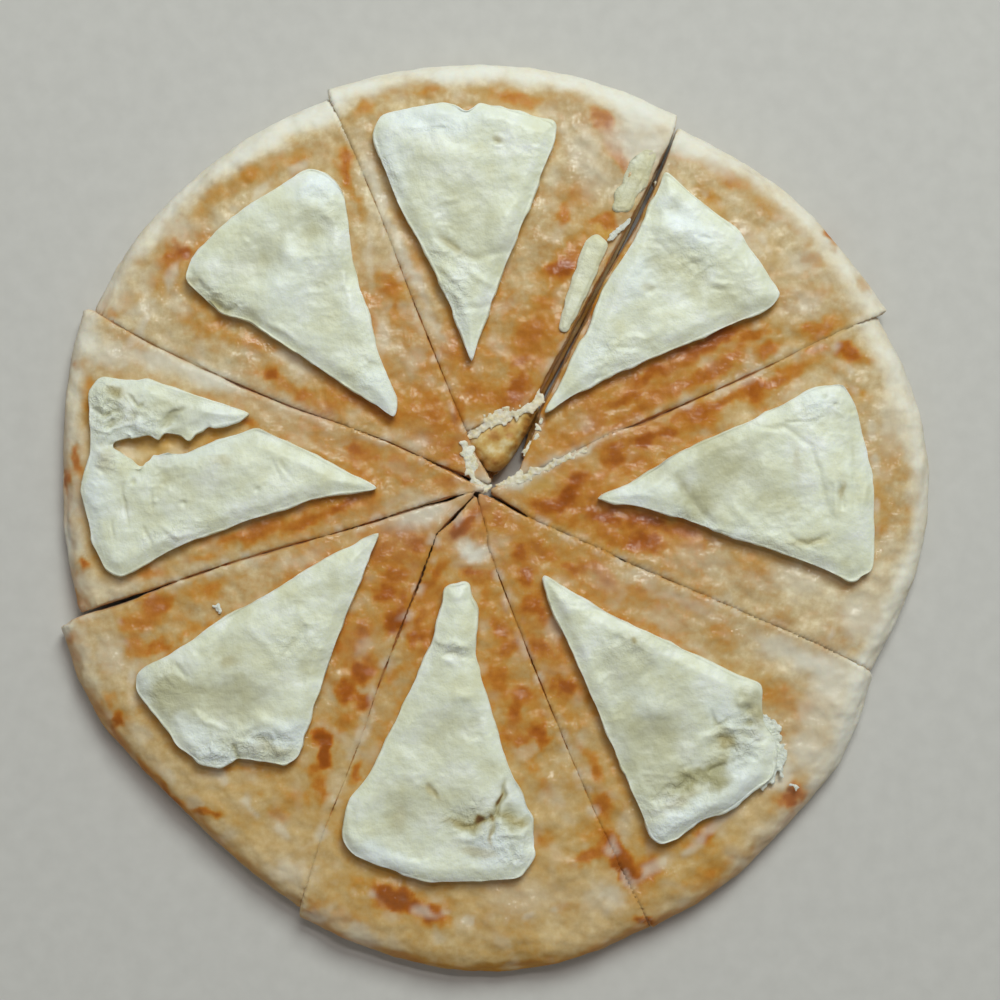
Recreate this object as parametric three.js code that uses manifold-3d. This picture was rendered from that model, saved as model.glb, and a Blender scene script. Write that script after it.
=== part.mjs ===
// A round, flat cheese bread cut into eight wedges that still lie together, each with a slab of soft
// white cheese on it. Every wedge is a pouch: an upper and a lower crust that join only at the outer
// rim, with a layer of crumbled cheese between them that shows at both cuts and at the tip.
//
// Millimetres, with +Z up. The bread rests on z = 0 and the Z axis passes through the middle of its
// outline. Bearings are in degrees, counter-clockwise from +X. A wedge's left and right are those of
// someone who stands at the middle and looks out to its rim.

import * as THREE from "three";
import { mergeVertices } from "three/addons/utils/BufferGeometryUtils.js";
import { TessellateModifier } from "three/addons/modifiers/TessellateModifier.js";
import Module from "manifold-3d";

const wasm = await Module();
wasm.setup();

// ---- Driving dimensions ----

const crustHeight = 15.5; // top of the upper crust at the middle of the bread
const shoulderHeight = 13.5; // top of the upper crust where the rim starts to round
const breadRadius = 138; // mean radius of the rim
const rimRound = 8; // how far in from the rim its rounding starts
const rimWaist = 5.5; // height at which the rim stands out furthest
const fillingFloor = 4.4; // underside of the filling layer
const fillingRoof = 10.2; // top of the filling layer
const closedRim = 17; // dough between the filling and the outside of the rim
const fillingTip = 2; // how far the filling's tip lies back from its wedge's
const fit = 0.3; // clear space between pieces that touch

const cheeseThickness = 4.6; // of a slab of cheese
const cheeseEdge = 1; // rounding of a slab's upper edge
const cheeseCorner = 1.3; // radius of a slab's sharper corners, seen from above
const sharpTurn = 35; // degrees by which an outline turns at a corner that is rounded
const shavingThickness = 1.8; // of a torn-off strip of cheese

const wedgeColumns = 7; // facets from a wedge's left cut to its right one
const wedgeRows = 8; // facets from a wedge's tip to the shoulder of its rim
const rimTurns = [60, 36, 14, 0]; // where the rim's rounding has its rows, in degrees above its waist
const fillingColumns = 4;
const fillingRows = 6;
const cornerSteps = 2; // facets round a slab's corner
const longestSlabEdge = 15; // longest facet of a cheese slab

// Gentle swells of the upper crust: where they are, how far they reach and how high they rise.
const swells = [
  { at: [-8, 108], reach: 34, rise: 0.7 },
  { at: [62, 84], reach: 38, rise: 0.8 },
  { at: [98, 12], reach: 36, rise: 0.6 },
  { at: [88, -66], reach: 34, rise: -0.6 },
  { at: [52, -24], reach: 30, rise: 0.6 },
  { at: [4, -112], reach: 36, rise: 0.7 },
  { at: [-26, -62], reach: 32, rise: -0.5 },
  { at: [-88, -52], reach: 38, rise: 0.7 },
  { at: [-104, 22], reach: 34, rise: 0.6 },
  { at: [-52, 10], reach: 30, rise: -0.4 },
  { at: [-70, 88], reach: 38, rise: 0.7 },
  { at: [22, 40], reach: 30, rise: 0.5 },
];

// The knife's cuts run out from one place near the middle. Each holds its bearing, and at every
// station along its length `bend` says how far it strays to the left and `gap` how wide it stands
// open. `lean` says how far the cut face of the wedge on its left, and of the one on its right,
// slopes back from foot to top, each as [near the tip, halfway out].
const cutsMeet = new THREE.Vector2(-2, 9);
const cutLength = 132;
const cutStations = [0.08, 0.16, 0.3, 0.5, 0.7, 0.88];

// The wedges, clockwise. `rim` is the distance of the rim from the middle of the bread at five even
// steps from the wedge's left corner to its right one, `cut` is the cut along the wedge's right side,
// and `cheese` is its slab's outline by its corners.
const wedges = [
  {
    name: "north",
    tip: [1.8, 14],
    rim: [143, 142, 141, 139.5, 137.5],
    cut: {
      bearing: 62.5,
      bend: [-4, -3, -2.5, -2.5, -3, -2],
      gap: [5.5, 2.5, 1.5, 1, 3, 3],
      lean: { left: [2.2, 2.4], right: [0.4, 0.4] },
    },
    cheese: [
      [-38.5, 117], [-36, 125], [-16, 128], [1, 127.5], [20, 122], [20, 116],
      [5, 78], [-7, 49], [-21, 79.5], [-31, 96.5],
    ],
  },
  {
    name: "northeast",
    tip: [8.6, 14.8],
    rim: [134, 135, 136.5, 136.5, 138],
    cut: {
      bearing: 24,
      bend: [0.5, -1, 0, -0.5, -0.5, 0.5],
      gap: [1, 1.5, 0.6, 0.7, 1, 0.6],
      lean: { left: [0.5, 0.5], right: [3, 0.8] },
    },
    cheese: [
      [54, 107.5], [63, 98.5], [76, 88], [89, 69], [86.5, 64], [57, 51.5],
      [32.5, 41.5], [15.5, 32], [24.5, 52], [34.5, 70.5], [46, 88.5],
    ],
  },
  {
    name: "east",
    tip: [1.2, 7.2],
    rim: [134.5, 136.5, 135.5, 131.5, 126],
    cut: {
      bearing: -25.5,
      bend: [-3, -2.5, -2, -1, 0, 1],
      gap: [0.6, 0.6, 0.6, 0.6, 0.6, 1],
      lean: { left: [0.4, 0.4], right: [0.4, 0.4] },
    },
    cheese: [
      [31.5, 5.5], [45, 13.5], [54, 20.5], [75.5, 30], [98, 41.5], [107.5, 43], [112, 35],
      [117.5, 9], [117, -16], [112, -21.5], [88, -11.5], [45, 3],
    ],
  },
  {
    name: "southeast",
    tip: [-1.2, 6],
    rim: [127, 131.5, 131.5, 134.5, 136],
    cut: {
      bearing: -69.5,
      bend: [-6.5, -6, -6, -5.5, -4.5, -3],
      gap: [0.6, 0.6, 0.6, 0.6, 0.6, 0.8],
      lean: { left: [0.4, 0.4], right: [0.4, 0.4] },
    },
    cheese: [
      [15, -17], [32.5, -26.5], [57, -38], [75.5, -47.5], [83, -49], [83, -61.5], [87.5, -71],
      [86, -79], [71, -91], [63, -93], [53.5, -102], [47.5, -99], [29, -55.5], [16.5, -26.5],
    ],
  },
  {
    name: "south",
    tip: [-6, 5.5],
    rim: [135.5, 139.5, 141, 139.5, 137.5],
    cut: {
      bearing: -114,
      bend: [-8, -9, -7.5, -6.5, -4, -3.5],
      gap: [0.6, 0.6, 0.6, 0.6, 0.6, 0.8],
      lean: { left: [0.4, 0.8], right: [0.4, 0.4] },
    },
    cheese: [
      [-10, -18.5], [-15.5, -22.5], [-19.5, -37], [-28, -54.5], [-38, -76.5], [-45.5, -85],
      [-47.5, -99], [-43.5, -104], [-20, -112], [8, -111], [13.5, -103], [13, -92], [4, -71.5],
      [-2, -52], [-5, -40], [-4.5, -24],
    ],
  },
  {
    name: "southwest",
    tip: [-6.4, 7.8],
    rim: [135, 132.5, 133, 138, 138.5],
    cut: {
      bearing: -163,
      bend: [-1, -1.5, -1, -1.5, -1.5, 0],
      gap: [0.6, 0.6, 0.6, 1, 1.5, 3.5],
      lean: { left: [1.4, 0.8], right: [0.4, 0.4] },
    },
    cheese: [
      [-35, -4], [-44.5, -8], [-60, -16], [-86, -31], [-98, -39.5], [-110.5, -46],
      [-111, -52.5], [-99.5, -66.5], [-90.5, -76], [-83, -77.5], [-79, -74], [-64, -76.5],
      [-58.5, -71], [-49, -43.5], [-39.5, -17.5],
    ],
  },
  {
    name: "west",
    tip: [-5.6, 9.8],
    rim: [132, 133.5, 135, 139, 143],
    cut: {
      bearing: 155.5,
      bend: [-1, -0.5, -0.5, 2, 2.5, 2],
      gap: [1, 0.7, 0.6, 1, 2, 2],
      lean: { left: [0.4, 0.4], right: [0.4, 0.4] },
    },
    cheese: [
      [-36, 10], [-58, 22], [-72.5, 28.5], [-81, 25.5], [-94, 20.5], [-101.5, 21], [-107, 17.5],
      [-112, 19.5], [-118.5, 23], [-110.5, 24], [-101.5, 26], [-94, 24.5], [-86, 27.5],
      [-77, 29.5], [-72.5, 32.5], [-93, 39], [-106, 43], [-121, 43.5], [-124.5, 39.5],
      [-124, 20], [-127, 9], [-123, -9], [-119.5, -16], [-114, -18.5], [-92, -7], [-56.5, 5],
    ],
  },
  {
    name: "northwest",
    tip: [-1.6, 12],
    rim: [140, 141.5, 141, 141, 140],
    cut: {
      bearing: 112,
      bend: [-1.5, -0.5, -0.5, -0.5, -1, -0.5],
      gap: [0.6, 0.6, 0.6, 0.6, 0.6, 0.8],
      lean: { left: [0.4, 0.4], right: [0.4, 0.4] },
    },
    cheese: [
      [-56, 108.5], [-64, 104.5], [-83, 91.5], [-94, 80.5], [-96, 72.5], [-84, 61.5],
      [-76, 60], [-52, 43.5], [-31, 31.5], [-29.5, 36], [-35.5, 55], [-42, 79], [-44.5, 100],
      [-50, 106],
    ],
  },
];

// Two strips torn off the northeast slab, left lying along the right side of the north wedge.
const shavings = [
  {
    name: "cheese_strip_long",
    outline: [[28, 85.5], [31.5, 87.5], [35, 84], [29, 70], [22.5, 57], [20, 57.5], [20, 61], [24, 74]],
  },
  {
    name: "cheese_strip_thin",
    outline: [[49.5, 112], [46.5, 112.5], [43, 109], [37.5, 98], [36, 94.5], [41, 94.5], [47.5, 107]],
  },
];

// The upper crust of the north wedge is torn off over this outline, back from the tip.
const tornTip = [
  [-14, 26.5], [-8, 27], [-3, 29.5], [2, 31.5], [6, 32], [12, 36.5], [22, 39], [14, 6], [-10, 6],
];

// ---- Heights ----

// Height of the upper crust above the table, away from the rounding of the rim.
function crustTop(x, y) {
  const outward = Math.hypot(x, y) / breadRadius;
  let height = crustHeight - (crustHeight - shoulderHeight) * outward ** 2;
  for (const { at, reach, rise } of swells) {
    const share = Math.min(Math.hypot(x - at[0], y - at[1]) / reach, 1);
    height += (rise * (1 + Math.cos(Math.PI * share))) / 2;
  }
  return height;
}

// ---- Closed meshes ----

// A geometry from triangles of points. Triangles that have shrunk to an edge or a point are dropped.
function geometryFromTriangles(triangles) {
  const positions = [];
  for (const [a, b, c] of triangles) {
    const area = new THREE.Triangle(a, b, c).getArea();
    if (area > 1e-6) positions.push(...a.toArray(), ...b.toArray(), ...c.toArray());
  }
  const geometry = new THREE.BufferGeometry();
  geometry.setAttribute("position", new THREE.Float32BufferAttribute(positions, 3));
  return mergeVertices(geometry, 1e-3);
}

function quad(a, b, c, d) {
  return [[a, b, c], [a, c, d]];
}

// A closed body between two sheets of points. Both sheets are lists of rows that run outwards, and
// each row runs from left to right.
function bodyBetween(upper, lower) {
  const triangles = [];
  const end = upper.length - 1;
  const right = upper[0].length - 1;
  for (let i = 0; i < end; i += 1) {
    for (let j = 0; j < right; j += 1) {
      triangles.push(...quad(upper[i][j], upper[i][j + 1], upper[i + 1][j + 1], upper[i + 1][j]));
      triangles.push(...quad(lower[i][j], lower[i + 1][j], lower[i + 1][j + 1], lower[i][j + 1]));
    }
    triangles.push(...quad(upper[i][0], upper[i + 1][0], lower[i + 1][0], lower[i][0]));
    triangles.push(...quad(upper[i + 1][right], upper[i][right], lower[i][right], lower[i + 1][right]));
  }
  for (let j = 0; j < right; j += 1) {
    triangles.push(...quad(upper[end][j], upper[end][j + 1], lower[end][j + 1], lower[end][j]));
    triangles.push(...quad(upper[0][j + 1], upper[0][j], lower[0][j], lower[0][j + 1]));
  }
  return geometryFromTriangles(triangles);
}

function solidFrom(geometry) {
  return new wasm.Manifold(
    new wasm.Mesh({
      numProp: 3,
      vertProperties: geometry.getAttribute("position").array,
      triVerts: new Uint32Array(geometry.index.array),
    }),
  );
}

function geometryFrom(solid) {
  const mesh = solid.getMesh();
  const geometry = new THREE.BufferGeometry();
  geometry.setAttribute("position", new THREE.BufferAttribute(mesh.vertProperties, 3));
  geometry.setIndex(new THREE.BufferAttribute(mesh.triVerts, 1));
  return geometry;
}

// ---- The plan of a wedge ----

// How far a cut face lies back from its foot, `outward` of the way to the rim and `level` of the way
// up. The slope fades out at the rim.
function leanAt(lean, outward, level) {
  const [nearTip, halfway] = lean;
  const share = outward < 0.5 ? outward * 2 : 2 - outward * 2;
  const slope = outward < 0.5 ? THREE.MathUtils.lerp(nearTip, halfway, share) : halfway * share;
  return slope * level;
}

// One side of a wedge seen from above, from its tip to its corner on the rim. `hand` is 1 for the
// wedge on the cut's left and -1 for the one on its right, and `spread` widens the wedge.
function cutSide(cut, hand, { tip, rimRadius, level, spread }) {
  const bearing = THREE.MathUtils.degToRad(cut.bearing);
  const outwards = new THREE.Vector2(Math.cos(bearing), Math.sin(bearing));
  const leftwards = new THREE.Vector2(-outwards.y, outwards.x);
  const lean = hand > 0 ? cut.lean.left : cut.lean.right;
  const place = (distance, sideways) =>
    cutsMeet.clone().addScaledVector(outwards, distance).addScaledVector(leftwards, sideways);
  const points = [tip];
  cutStations.forEach((station, k) => {
    const aside = cut.gap[k] / 2 + leanAt(lean, station, level) - spread;
    points.push(place(station * cutLength, cut.bend[k] + hand * aside));
  });
  // The corner is where the side, now straight, reaches the rim.
  const foot = place(0, hand * (cut.gap.at(-1) / 2 - spread));
  const along = foot.dot(outwards);
  const distance = Math.sqrt(along ** 2 + rimRadius ** 2 - foot.lengthSq()) - along;
  points.push(foot.addScaledVector(outwards, distance));
  return new THREE.SplineCurve(points);
}

// The bearing in radians that means the same as the first one and lies closest to the second.
function nearest(bearing, reference) {
  return bearing + 2 * Math.PI * Math.round((reference - bearing) / (2 * Math.PI));
}

// The two sides of a wedge seen from above.
function wedgeSides(index, { level = 0, spread = 0, rimInset = 0, tipShift = 0 }) {
  const { tip, rim, cut } = wedges[index];
  const leftCut = wedges.at(index - 1).cut;
  const rightBearing = THREE.MathUtils.degToRad(cut.bearing);
  const leftBearing = nearest(THREE.MathUtils.degToRad(leftCut.bearing), rightBearing);
  const bearing = (leftBearing + rightBearing) / 2;
  const outwards = new THREE.Vector2(Math.cos(bearing), Math.sin(bearing));
  const start = new THREE.Vector2(...tip).addScaledVector(outwards, tipShift);
  const left = cutSide(leftCut, -1, { tip: start, rimRadius: rim[0] - rimInset, level, spread });
  const right = cutSide(cut, 1, { tip: start, rimRadius: rim.at(-1) - rimInset, level, spread });
  return { left, right };
}

// The plan of a wedge, as a function that places a point `outward` of the way from its tip to its
// rim and `across` of the way from its left side to its right one. `spread` widens the wedge,
// `rimInset` draws its rim in, `tipShift` moves its tip outwards, and `level` picks the height at
// which its cut faces are met.
function wedgePlan(index, options) {
  const radii = wedges[index].rim;
  const radiusCurve = new THREE.SplineCurve(radii.map((radius, k) => new THREE.Vector2(k, radius)));
  const corner = (side, reference) => nearest(side.getPoint(1).angle(), reference);
  const whole = wedgeSides(index, {});
  const wholeLeft = corner(whole.left, 0);
  const wholeRight = corner(whole.right, wholeLeft);
  const radiusAt = (angle) => {
    const share = (nearest(angle, wholeLeft) - wholeLeft) / (wholeRight - wholeLeft);
    return radiusCurve.getPoint(THREE.MathUtils.clamp(share, 0, 1)).y;
  };
  const { rimInset = 0 } = options;
  const { left, right } = wedgeSides(index, options);
  const leftAngle = corner(left, wholeLeft);
  const rightAngle = corner(right, wholeLeft);
  const rimPoint = (across) => {
    const angle = THREE.MathUtils.lerp(leftAngle, rightAngle, across);
    const radius = radiusAt(angle) - rimInset;
    return new THREE.Vector2(radius * Math.cos(angle), radius * Math.sin(angle));
  };
  // Straight across between the sides, with the rim's bulge fading in on the way out.
  const place = (outward, across) => {
    const straight = left.getPointAt(outward).lerp(right.getPointAt(outward), across);
    const bulge = rimPoint(across).sub(left.getPoint(1).lerp(right.getPoint(1), across));
    return straight.addScaledVector(bulge, outward ** 3);
  };
  return { place, length: (left.getLength() + right.getLength()) / 2 };
}

// A sheet of points over a wedge's plan, one row for each share of the way out.
function sheet(plan, rows, columns, heightAt) {
  return rows.map((outward, i) =>
    Array.from({ length: columns + 1 }, (_, j) => {
      const { x, y } = plan.place(outward, j / columns);
      return new THREE.Vector3(x, y, heightAt(x, y, i));
    }),
  );
}

// ---- Dough and filling ----

// A wedge of dough before its filling is taken out. Its rows stop at the shoulder, and the last few
// go round the rim, where the upper and the lower sheet meet at the waist.
function doughBody(index) {
  const upperPlan = wedgePlan(index, { level: 1 });
  const lowerPlan = wedgePlan(index, { level: 0 });
  const shoulder = 1 - rimRound / lowerPlan.length;
  const turns = rimTurns.map(THREE.MathUtils.degToRad);
  const flat = Array.from({ length: wedgeRows + 1 }, (_, i) => (shoulder * i) / wedgeRows);
  const round = turns.map((turn) => shoulder + (1 - shoulder) * Math.cos(turn));
  const rows = [...flat, ...round];
  const rise = (i) => (i <= wedgeRows ? 1 : Math.sin(turns[i - wedgeRows - 1]));
  const upper = sheet(upperPlan, rows, wedgeColumns, (x, y, i) =>
    THREE.MathUtils.lerp(rimWaist, crustTop(x, y), rise(i)),
  );
  const lower = sheet(lowerPlan, rows, wedgeColumns, (x, y, i) => rimWaist * (1 - rise(i)));
  return bodyBetween(upper, lower);
}

// A flat layer inside a wedge, between its two crusts, with `clear` space left round it.
function layerBody(index, { clear, spread, tipShift }) {
  const rows = Array.from({ length: fillingRows + 1 }, (_, i) => i / fillingRows);
  const inset = { spread, rimInset: closedRim + 4 * clear, tipShift };
  const upperPlan = wedgePlan(index, { ...inset, level: fillingRoof / crustHeight });
  const lowerPlan = wedgePlan(index, { ...inset, level: fillingFloor / crustHeight });
  const upper = sheet(upperPlan, rows, fillingColumns, () => fillingRoof - clear);
  const lower = sheet(lowerPlan, rows, fillingColumns, () => fillingFloor + clear);
  return bodyBetween(upper, lower);
}

// The space that the filling lies in, run out well past both cuts and the tip.
function pocketBody(index) {
  return layerBody(index, { clear: 0, spread: 6, tipShift: -14 });
}

function fillingBody(index) {
  return layerBody(index, { clear: fit, spread: -fit, tipShift: fillingTip });
}

// What has been torn off the upper crust at the tip of the north wedge.
function tornBody() {
  const outline = new THREE.Shape(tornTip.map(([x, y]) => new THREE.Vector2(x, y)));
  const geometry = new THREE.ExtrudeGeometry(outline, { depth: crustHeight, bevelEnabled: false });
  geometry.translate(0, 0, fillingRoof - fit);
  geometry.deleteAttribute("normal");
  geometry.deleteAttribute("uv");
  return mergeVertices(geometry);
}

function doughWedge(index) {
  let solid = solidFrom(doughBody(index)).subtract(solidFrom(pocketBody(index)));
  if (wedges[index].name === "north") solid = solid.subtract(solidFrom(tornBody()));
  return geometryFrom(solid);
}

// ---- Cheese ----

// The outline of a slab. Its sharper corners are rounded off, and the slight ones stay points.
function roundedOutline(corners) {
  const points = corners.map(([x, y]) => new THREE.Vector2(x, y));
  const outline = new THREE.Path();
  points.forEach((corner, k) => {
    const before = points.at(k - 1);
    const after = points[(k + 1) % points.length];
    const opening = before.clone().sub(corner).angleTo(after.clone().sub(corner));
    const isSharp = Math.PI - opening > THREE.MathUtils.degToRad(sharpTurn);
    const cutBack = isSharp ? cheeseCorner / Math.tan(opening / 2) : 0;
    // Two roundings never meet, as each takes less than half of an edge.
    const towards = (other) => {
      const share = Math.min(cutBack / corner.distanceTo(other), 0.45);
      return corner.clone().lerp(other, share);
    };
    const start = towards(before);
    const end = towards(after);
    if (k === 0) outline.moveTo(start.x, start.y);
    else outline.lineTo(start.x, start.y);
    if (cutBack > 0) outline.quadraticCurveTo(corner.x, corner.y, end.x, end.y);
  });
  const loop = outline.getPoints(cornerSteps);
  if (THREE.ShapeUtils.isClockWise(loop)) loop.reverse();
  return loop;
}

// The outline drawn in by the same distance all round, but for its sharpest corners.
function drawnIn(loop, distance) {
  return loop.map((point, k) => {
    const toNext = loop[(k + 1) % loop.length].clone().sub(point).normalize();
    const fromLast = point.clone().sub(loop.at(k - 1)).normalize();
    const inwards = new THREE.Vector2(-toNext.y - fromLast.y, toNext.x + fromLast.x).normalize();
    const stretch = Math.max(inwards.dot(new THREE.Vector2(-toNext.y, toNext.x)), 0.6);
    return point.clone().addScaledVector(inwards, distance / stretch);
  });
}

// A slab of cheese, soft at its edges, that follows the crust it lies on.
function slab(corners, thickness) {
  const outline = roundedOutline(corners);
  const ring = (inset, height) =>
    drawnIn(outline, inset).map(({ x, y }) => new THREE.Vector3(x, y, height));
  const edge = Math.min(cheeseEdge, thickness / 2);
  const rings = [ring(edge / 2, 0), ring(0, thickness / 2), ring(edge, thickness)];
  const triangles = [];
  for (let level = 0; level + 1 < rings.length; level += 1) {
    const low = rings[level];
    const high = rings[level + 1];
    low.forEach((_, k) => {
      const next = (k + 1) % low.length;
      triangles.push(...quad(low[k], low[next], high[next], high[k]));
    });
  }
  const foot = rings[0];
  const top = rings.at(-1);
  for (const [a, b, c] of THREE.ShapeUtils.triangulateShape(foot, [])) {
    triangles.push([foot[a], foot[c], foot[b]]);
  }
  for (const [a, b, c] of THREE.ShapeUtils.triangulateShape(top, [])) {
    triangles.push([top[a], top[b], top[c]]);
  }
  const flat = geometryFromTriangles(triangles);
  const draped = mergeVertices(new TessellateModifier(longestSlabEdge, 8).modify(flat), 1e-3);
  const position = draped.getAttribute("position");
  for (let k = 0; k < position.count; k += 1) {
    const crust = crustTop(position.getX(k), position.getY(k));
    position.setZ(k, position.getZ(k) + crust + fit);
  }
  return draped;
}

// ---- Materials ----

function material(color, roughness) {
  return new THREE.MeshStandardMaterial({ color, roughness, metalness: 0, flatShading: true });
}

const bakedCrust = () => material(0xc2925a, 0.5);
const crumbledCheese = () => material(0xf0e9cf, 0.7);
const softCheese = () => material(0xd9dec8, 0.45);

// ---- Assembly ----

function piece(name, geometry, finish) {
  const mesh = new THREE.Mesh(geometry, finish);
  mesh.name = name;
  return mesh;
}

const bread = new THREE.Group();
wedges.forEach((wedge, index) => {
  bread.add(piece(`dough_${wedge.name}`, doughWedge(index), bakedCrust()));
  bread.add(piece(`filling_${wedge.name}`, fillingBody(index), crumbledCheese()));
  bread.add(piece(`cheese_${wedge.name}`, slab(wedge.cheese, cheeseThickness), softCheese()));
});
for (const { name, outline } of shavings) {
  bread.add(piece(name, slab(outline, shavingThickness), softCheese()));
}

// The middle of the bread's outline goes on the Z axis.
const middle = new THREE.Box3().setFromObject(bread).getCenter(new THREE.Vector3());
bread.position.set(-middle.x, -middle.y, 0);

export default bread;
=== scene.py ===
"""The finish of a khachapuri: a round cheese bread cut in eight, with soft cheese on each wedge."""

import logging
import math
from dataclasses import dataclass, field
from enum import Enum

import bmesh
import bpy
import numpy as np
from mathutils import Matrix, Vector
from mathutils.bvhtree import BVHTree
from mathutils.kdtree import KDTree


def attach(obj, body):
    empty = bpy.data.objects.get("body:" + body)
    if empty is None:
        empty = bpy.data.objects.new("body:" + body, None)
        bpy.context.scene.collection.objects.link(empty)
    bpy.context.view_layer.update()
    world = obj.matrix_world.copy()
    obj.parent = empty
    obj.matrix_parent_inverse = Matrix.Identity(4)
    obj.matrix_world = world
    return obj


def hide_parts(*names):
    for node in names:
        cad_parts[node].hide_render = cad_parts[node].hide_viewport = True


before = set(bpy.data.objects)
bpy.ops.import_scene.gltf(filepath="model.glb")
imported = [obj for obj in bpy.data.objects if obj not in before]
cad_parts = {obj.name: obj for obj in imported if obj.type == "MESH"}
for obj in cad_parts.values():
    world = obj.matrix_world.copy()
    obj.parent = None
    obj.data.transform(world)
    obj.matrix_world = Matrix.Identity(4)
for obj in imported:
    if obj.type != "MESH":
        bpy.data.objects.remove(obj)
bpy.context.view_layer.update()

log = logging.getLogger("khachapuri")

MM = 0.001  # one millimetre in metres
BODY = "root"
WEDGES = ("north", "northeast", "east", "southeast", "south", "southwest", "west", "northwest")

# The sockets of a node that mixes two colours.
MIX_SHARE, MIX_UNDER, MIX_OVER, MIX_RESULT = 0, 6, 7, 2

# A mark is full inside its core, fades out to its edge, and has a faint halo round that.
MARK_CORE, MARK_EDGE, MARK_HALO = 0.5, 2.1, 4.6


# ---------------------------------------------------------------- small tools


def linear(hex_colour: str) -> tuple[float, float, float, float]:
    """Turns an sRGB hex colour into the linear one that a shader takes.

    Args:
        hex_colour: six hex digits after a hash.

    Returns:
        Red, green, blue and an opacity of one.
    """
    parts = [int(hex_colour[at:at + 2], 16) / 255 for at in (1, 3, 5)]
    red, green, blue = [
        part / 12.92 if part <= 0.04045 else ((part + 0.055) / 1.055) ** 2.4 for part in parts
    ]
    return red, green, blue, 1.0


def rise(values: np.ndarray, low: float, high: float) -> np.ndarray:
    """Steps softly from 0 at low to 1 at high.

    Args:
        values: the numbers to step.
        low: where the step starts.
        high: where the step ends.

    Returns:
        One number between 0 and 1 for each value.
    """
    share = np.clip((values - low) / (high - low), 0, 1)
    return share * share * (3 - 2 * share)


@dataclass(frozen=True)
class Lumps:
    """Seeded smooth noise over space, from about -1 to 1.

    Attributes:
        seed: picks the pattern.
        size: width of one lump in millimetres.
    """

    seed: int
    size: float

    def at(self, points: np.ndarray) -> np.ndarray:
        """Reads the noise.

        Args:
            points: places in millimetres, one row each.

        Returns:
            One number for each row.
        """
        cells, gain, offset = 32, 1.9, 0.37
        draws = np.random.default_rng(self.seed)
        slopes = draws.normal(size=(cells, cells, cells, 3))
        slopes /= np.linalg.norm(slopes, axis=3, keepdims=True)
        spots = points / self.size + offset * self.seed
        base = np.floor(spots).astype(int)
        inside = spots - base
        fade = inside ** 3 * (inside * (inside * 6 - 15) + 10)
        total = np.zeros(len(points))
        for step in np.ndindex(2, 2, 2):
            cell = (base + step) % cells
            slope = slopes[cell[:, 0], cell[:, 1], cell[:, 2]]
            weight = np.prod(np.where(step, fade, 1 - fade), axis=1)
            total += weight * np.sum(slope * (inside - step), axis=1)
        return total * gain


@dataclass(frozen=True)
class Mark:
    """A soft oval spot on the bread.

    Attributes:
        x, y: its middle, in millimetres from the bread's origin.
        long, wide: half its length and half its width, where a fifth of its strength is gone.
        turn: degrees from +X to its long side.
        strength: how strong it is in the middle, from 0 to 1.
    """

    x: float
    y: float
    long: float
    wide: float
    turn: float
    strength: float

    def cover(self, across: np.ndarray, up: np.ndarray) -> np.ndarray:
        """Says how much of the spot lies on each point.

        Args:
            across: the points' X in millimetres.
            up: the points' Y in millimetres.

        Returns:
            The spot's strength at each point.
        """
        blot_share, halo_share = 0.82, 0.18
        angle = math.radians(self.turn)
        dx, dy = across - self.x, up - self.y
        along = (dx * math.cos(angle) + dy * math.sin(angle)) / self.long
        aside = (dy * math.cos(angle) - dx * math.sin(angle)) / self.wide
        away = np.hypot(along, aside)
        blot = 1 - rise(away, MARK_CORE, MARK_EDGE)
        halo = 1 - rise(away, MARK_CORE, MARK_HALO)
        return self.strength * (blot_share * blot + halo_share * halo)


def marks(rows: tuple) -> tuple[Mark, ...]:
    """Makes a row of marks from rows of x, y, long, wide, turn and strength."""
    return tuple(Mark(*row) for row in rows)


def spread(spots: tuple[Mark, ...], points: np.ndarray, fray: float) -> np.ndarray:
    """Lays marks over points, with their edges frayed so that none looks drawn.

    Args:
        spots: the marks.
        points: places in millimetres.
        fray: how far an edge wanders, in millimetres.

    Returns:
        The joint strength at each point, from 0 to 1.
    """
    broad, fine, fine_share = 6.5, 2.2, 0.45  # the two sizes of fraying, in millimetres
    flat = points * (1, 1, 0)
    across = points[:, 0] + fray * (Lumps(3, broad).at(flat) + fine_share * Lumps(5, fine).at(flat))
    up = points[:, 1] + fray * (Lumps(4, broad).at(flat) + fine_share * Lumps(6, fine).at(flat))
    bare = np.ones(len(points))
    low, high = points.min(axis=0), points.max(axis=0)
    for spot in spots:
        reach = MARK_HALO * max(spot.long, spot.wide)
        if low[0] - reach < spot.x < high[0] + reach and low[1] - reach < spot.y < high[1] + reach:
            bare *= 1 - spot.cover(across, up)
    return 1 - bare


class Bend(Enum):
    """Which way a fold goes."""

    RIDGE = 1
    CREASE = -1


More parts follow.
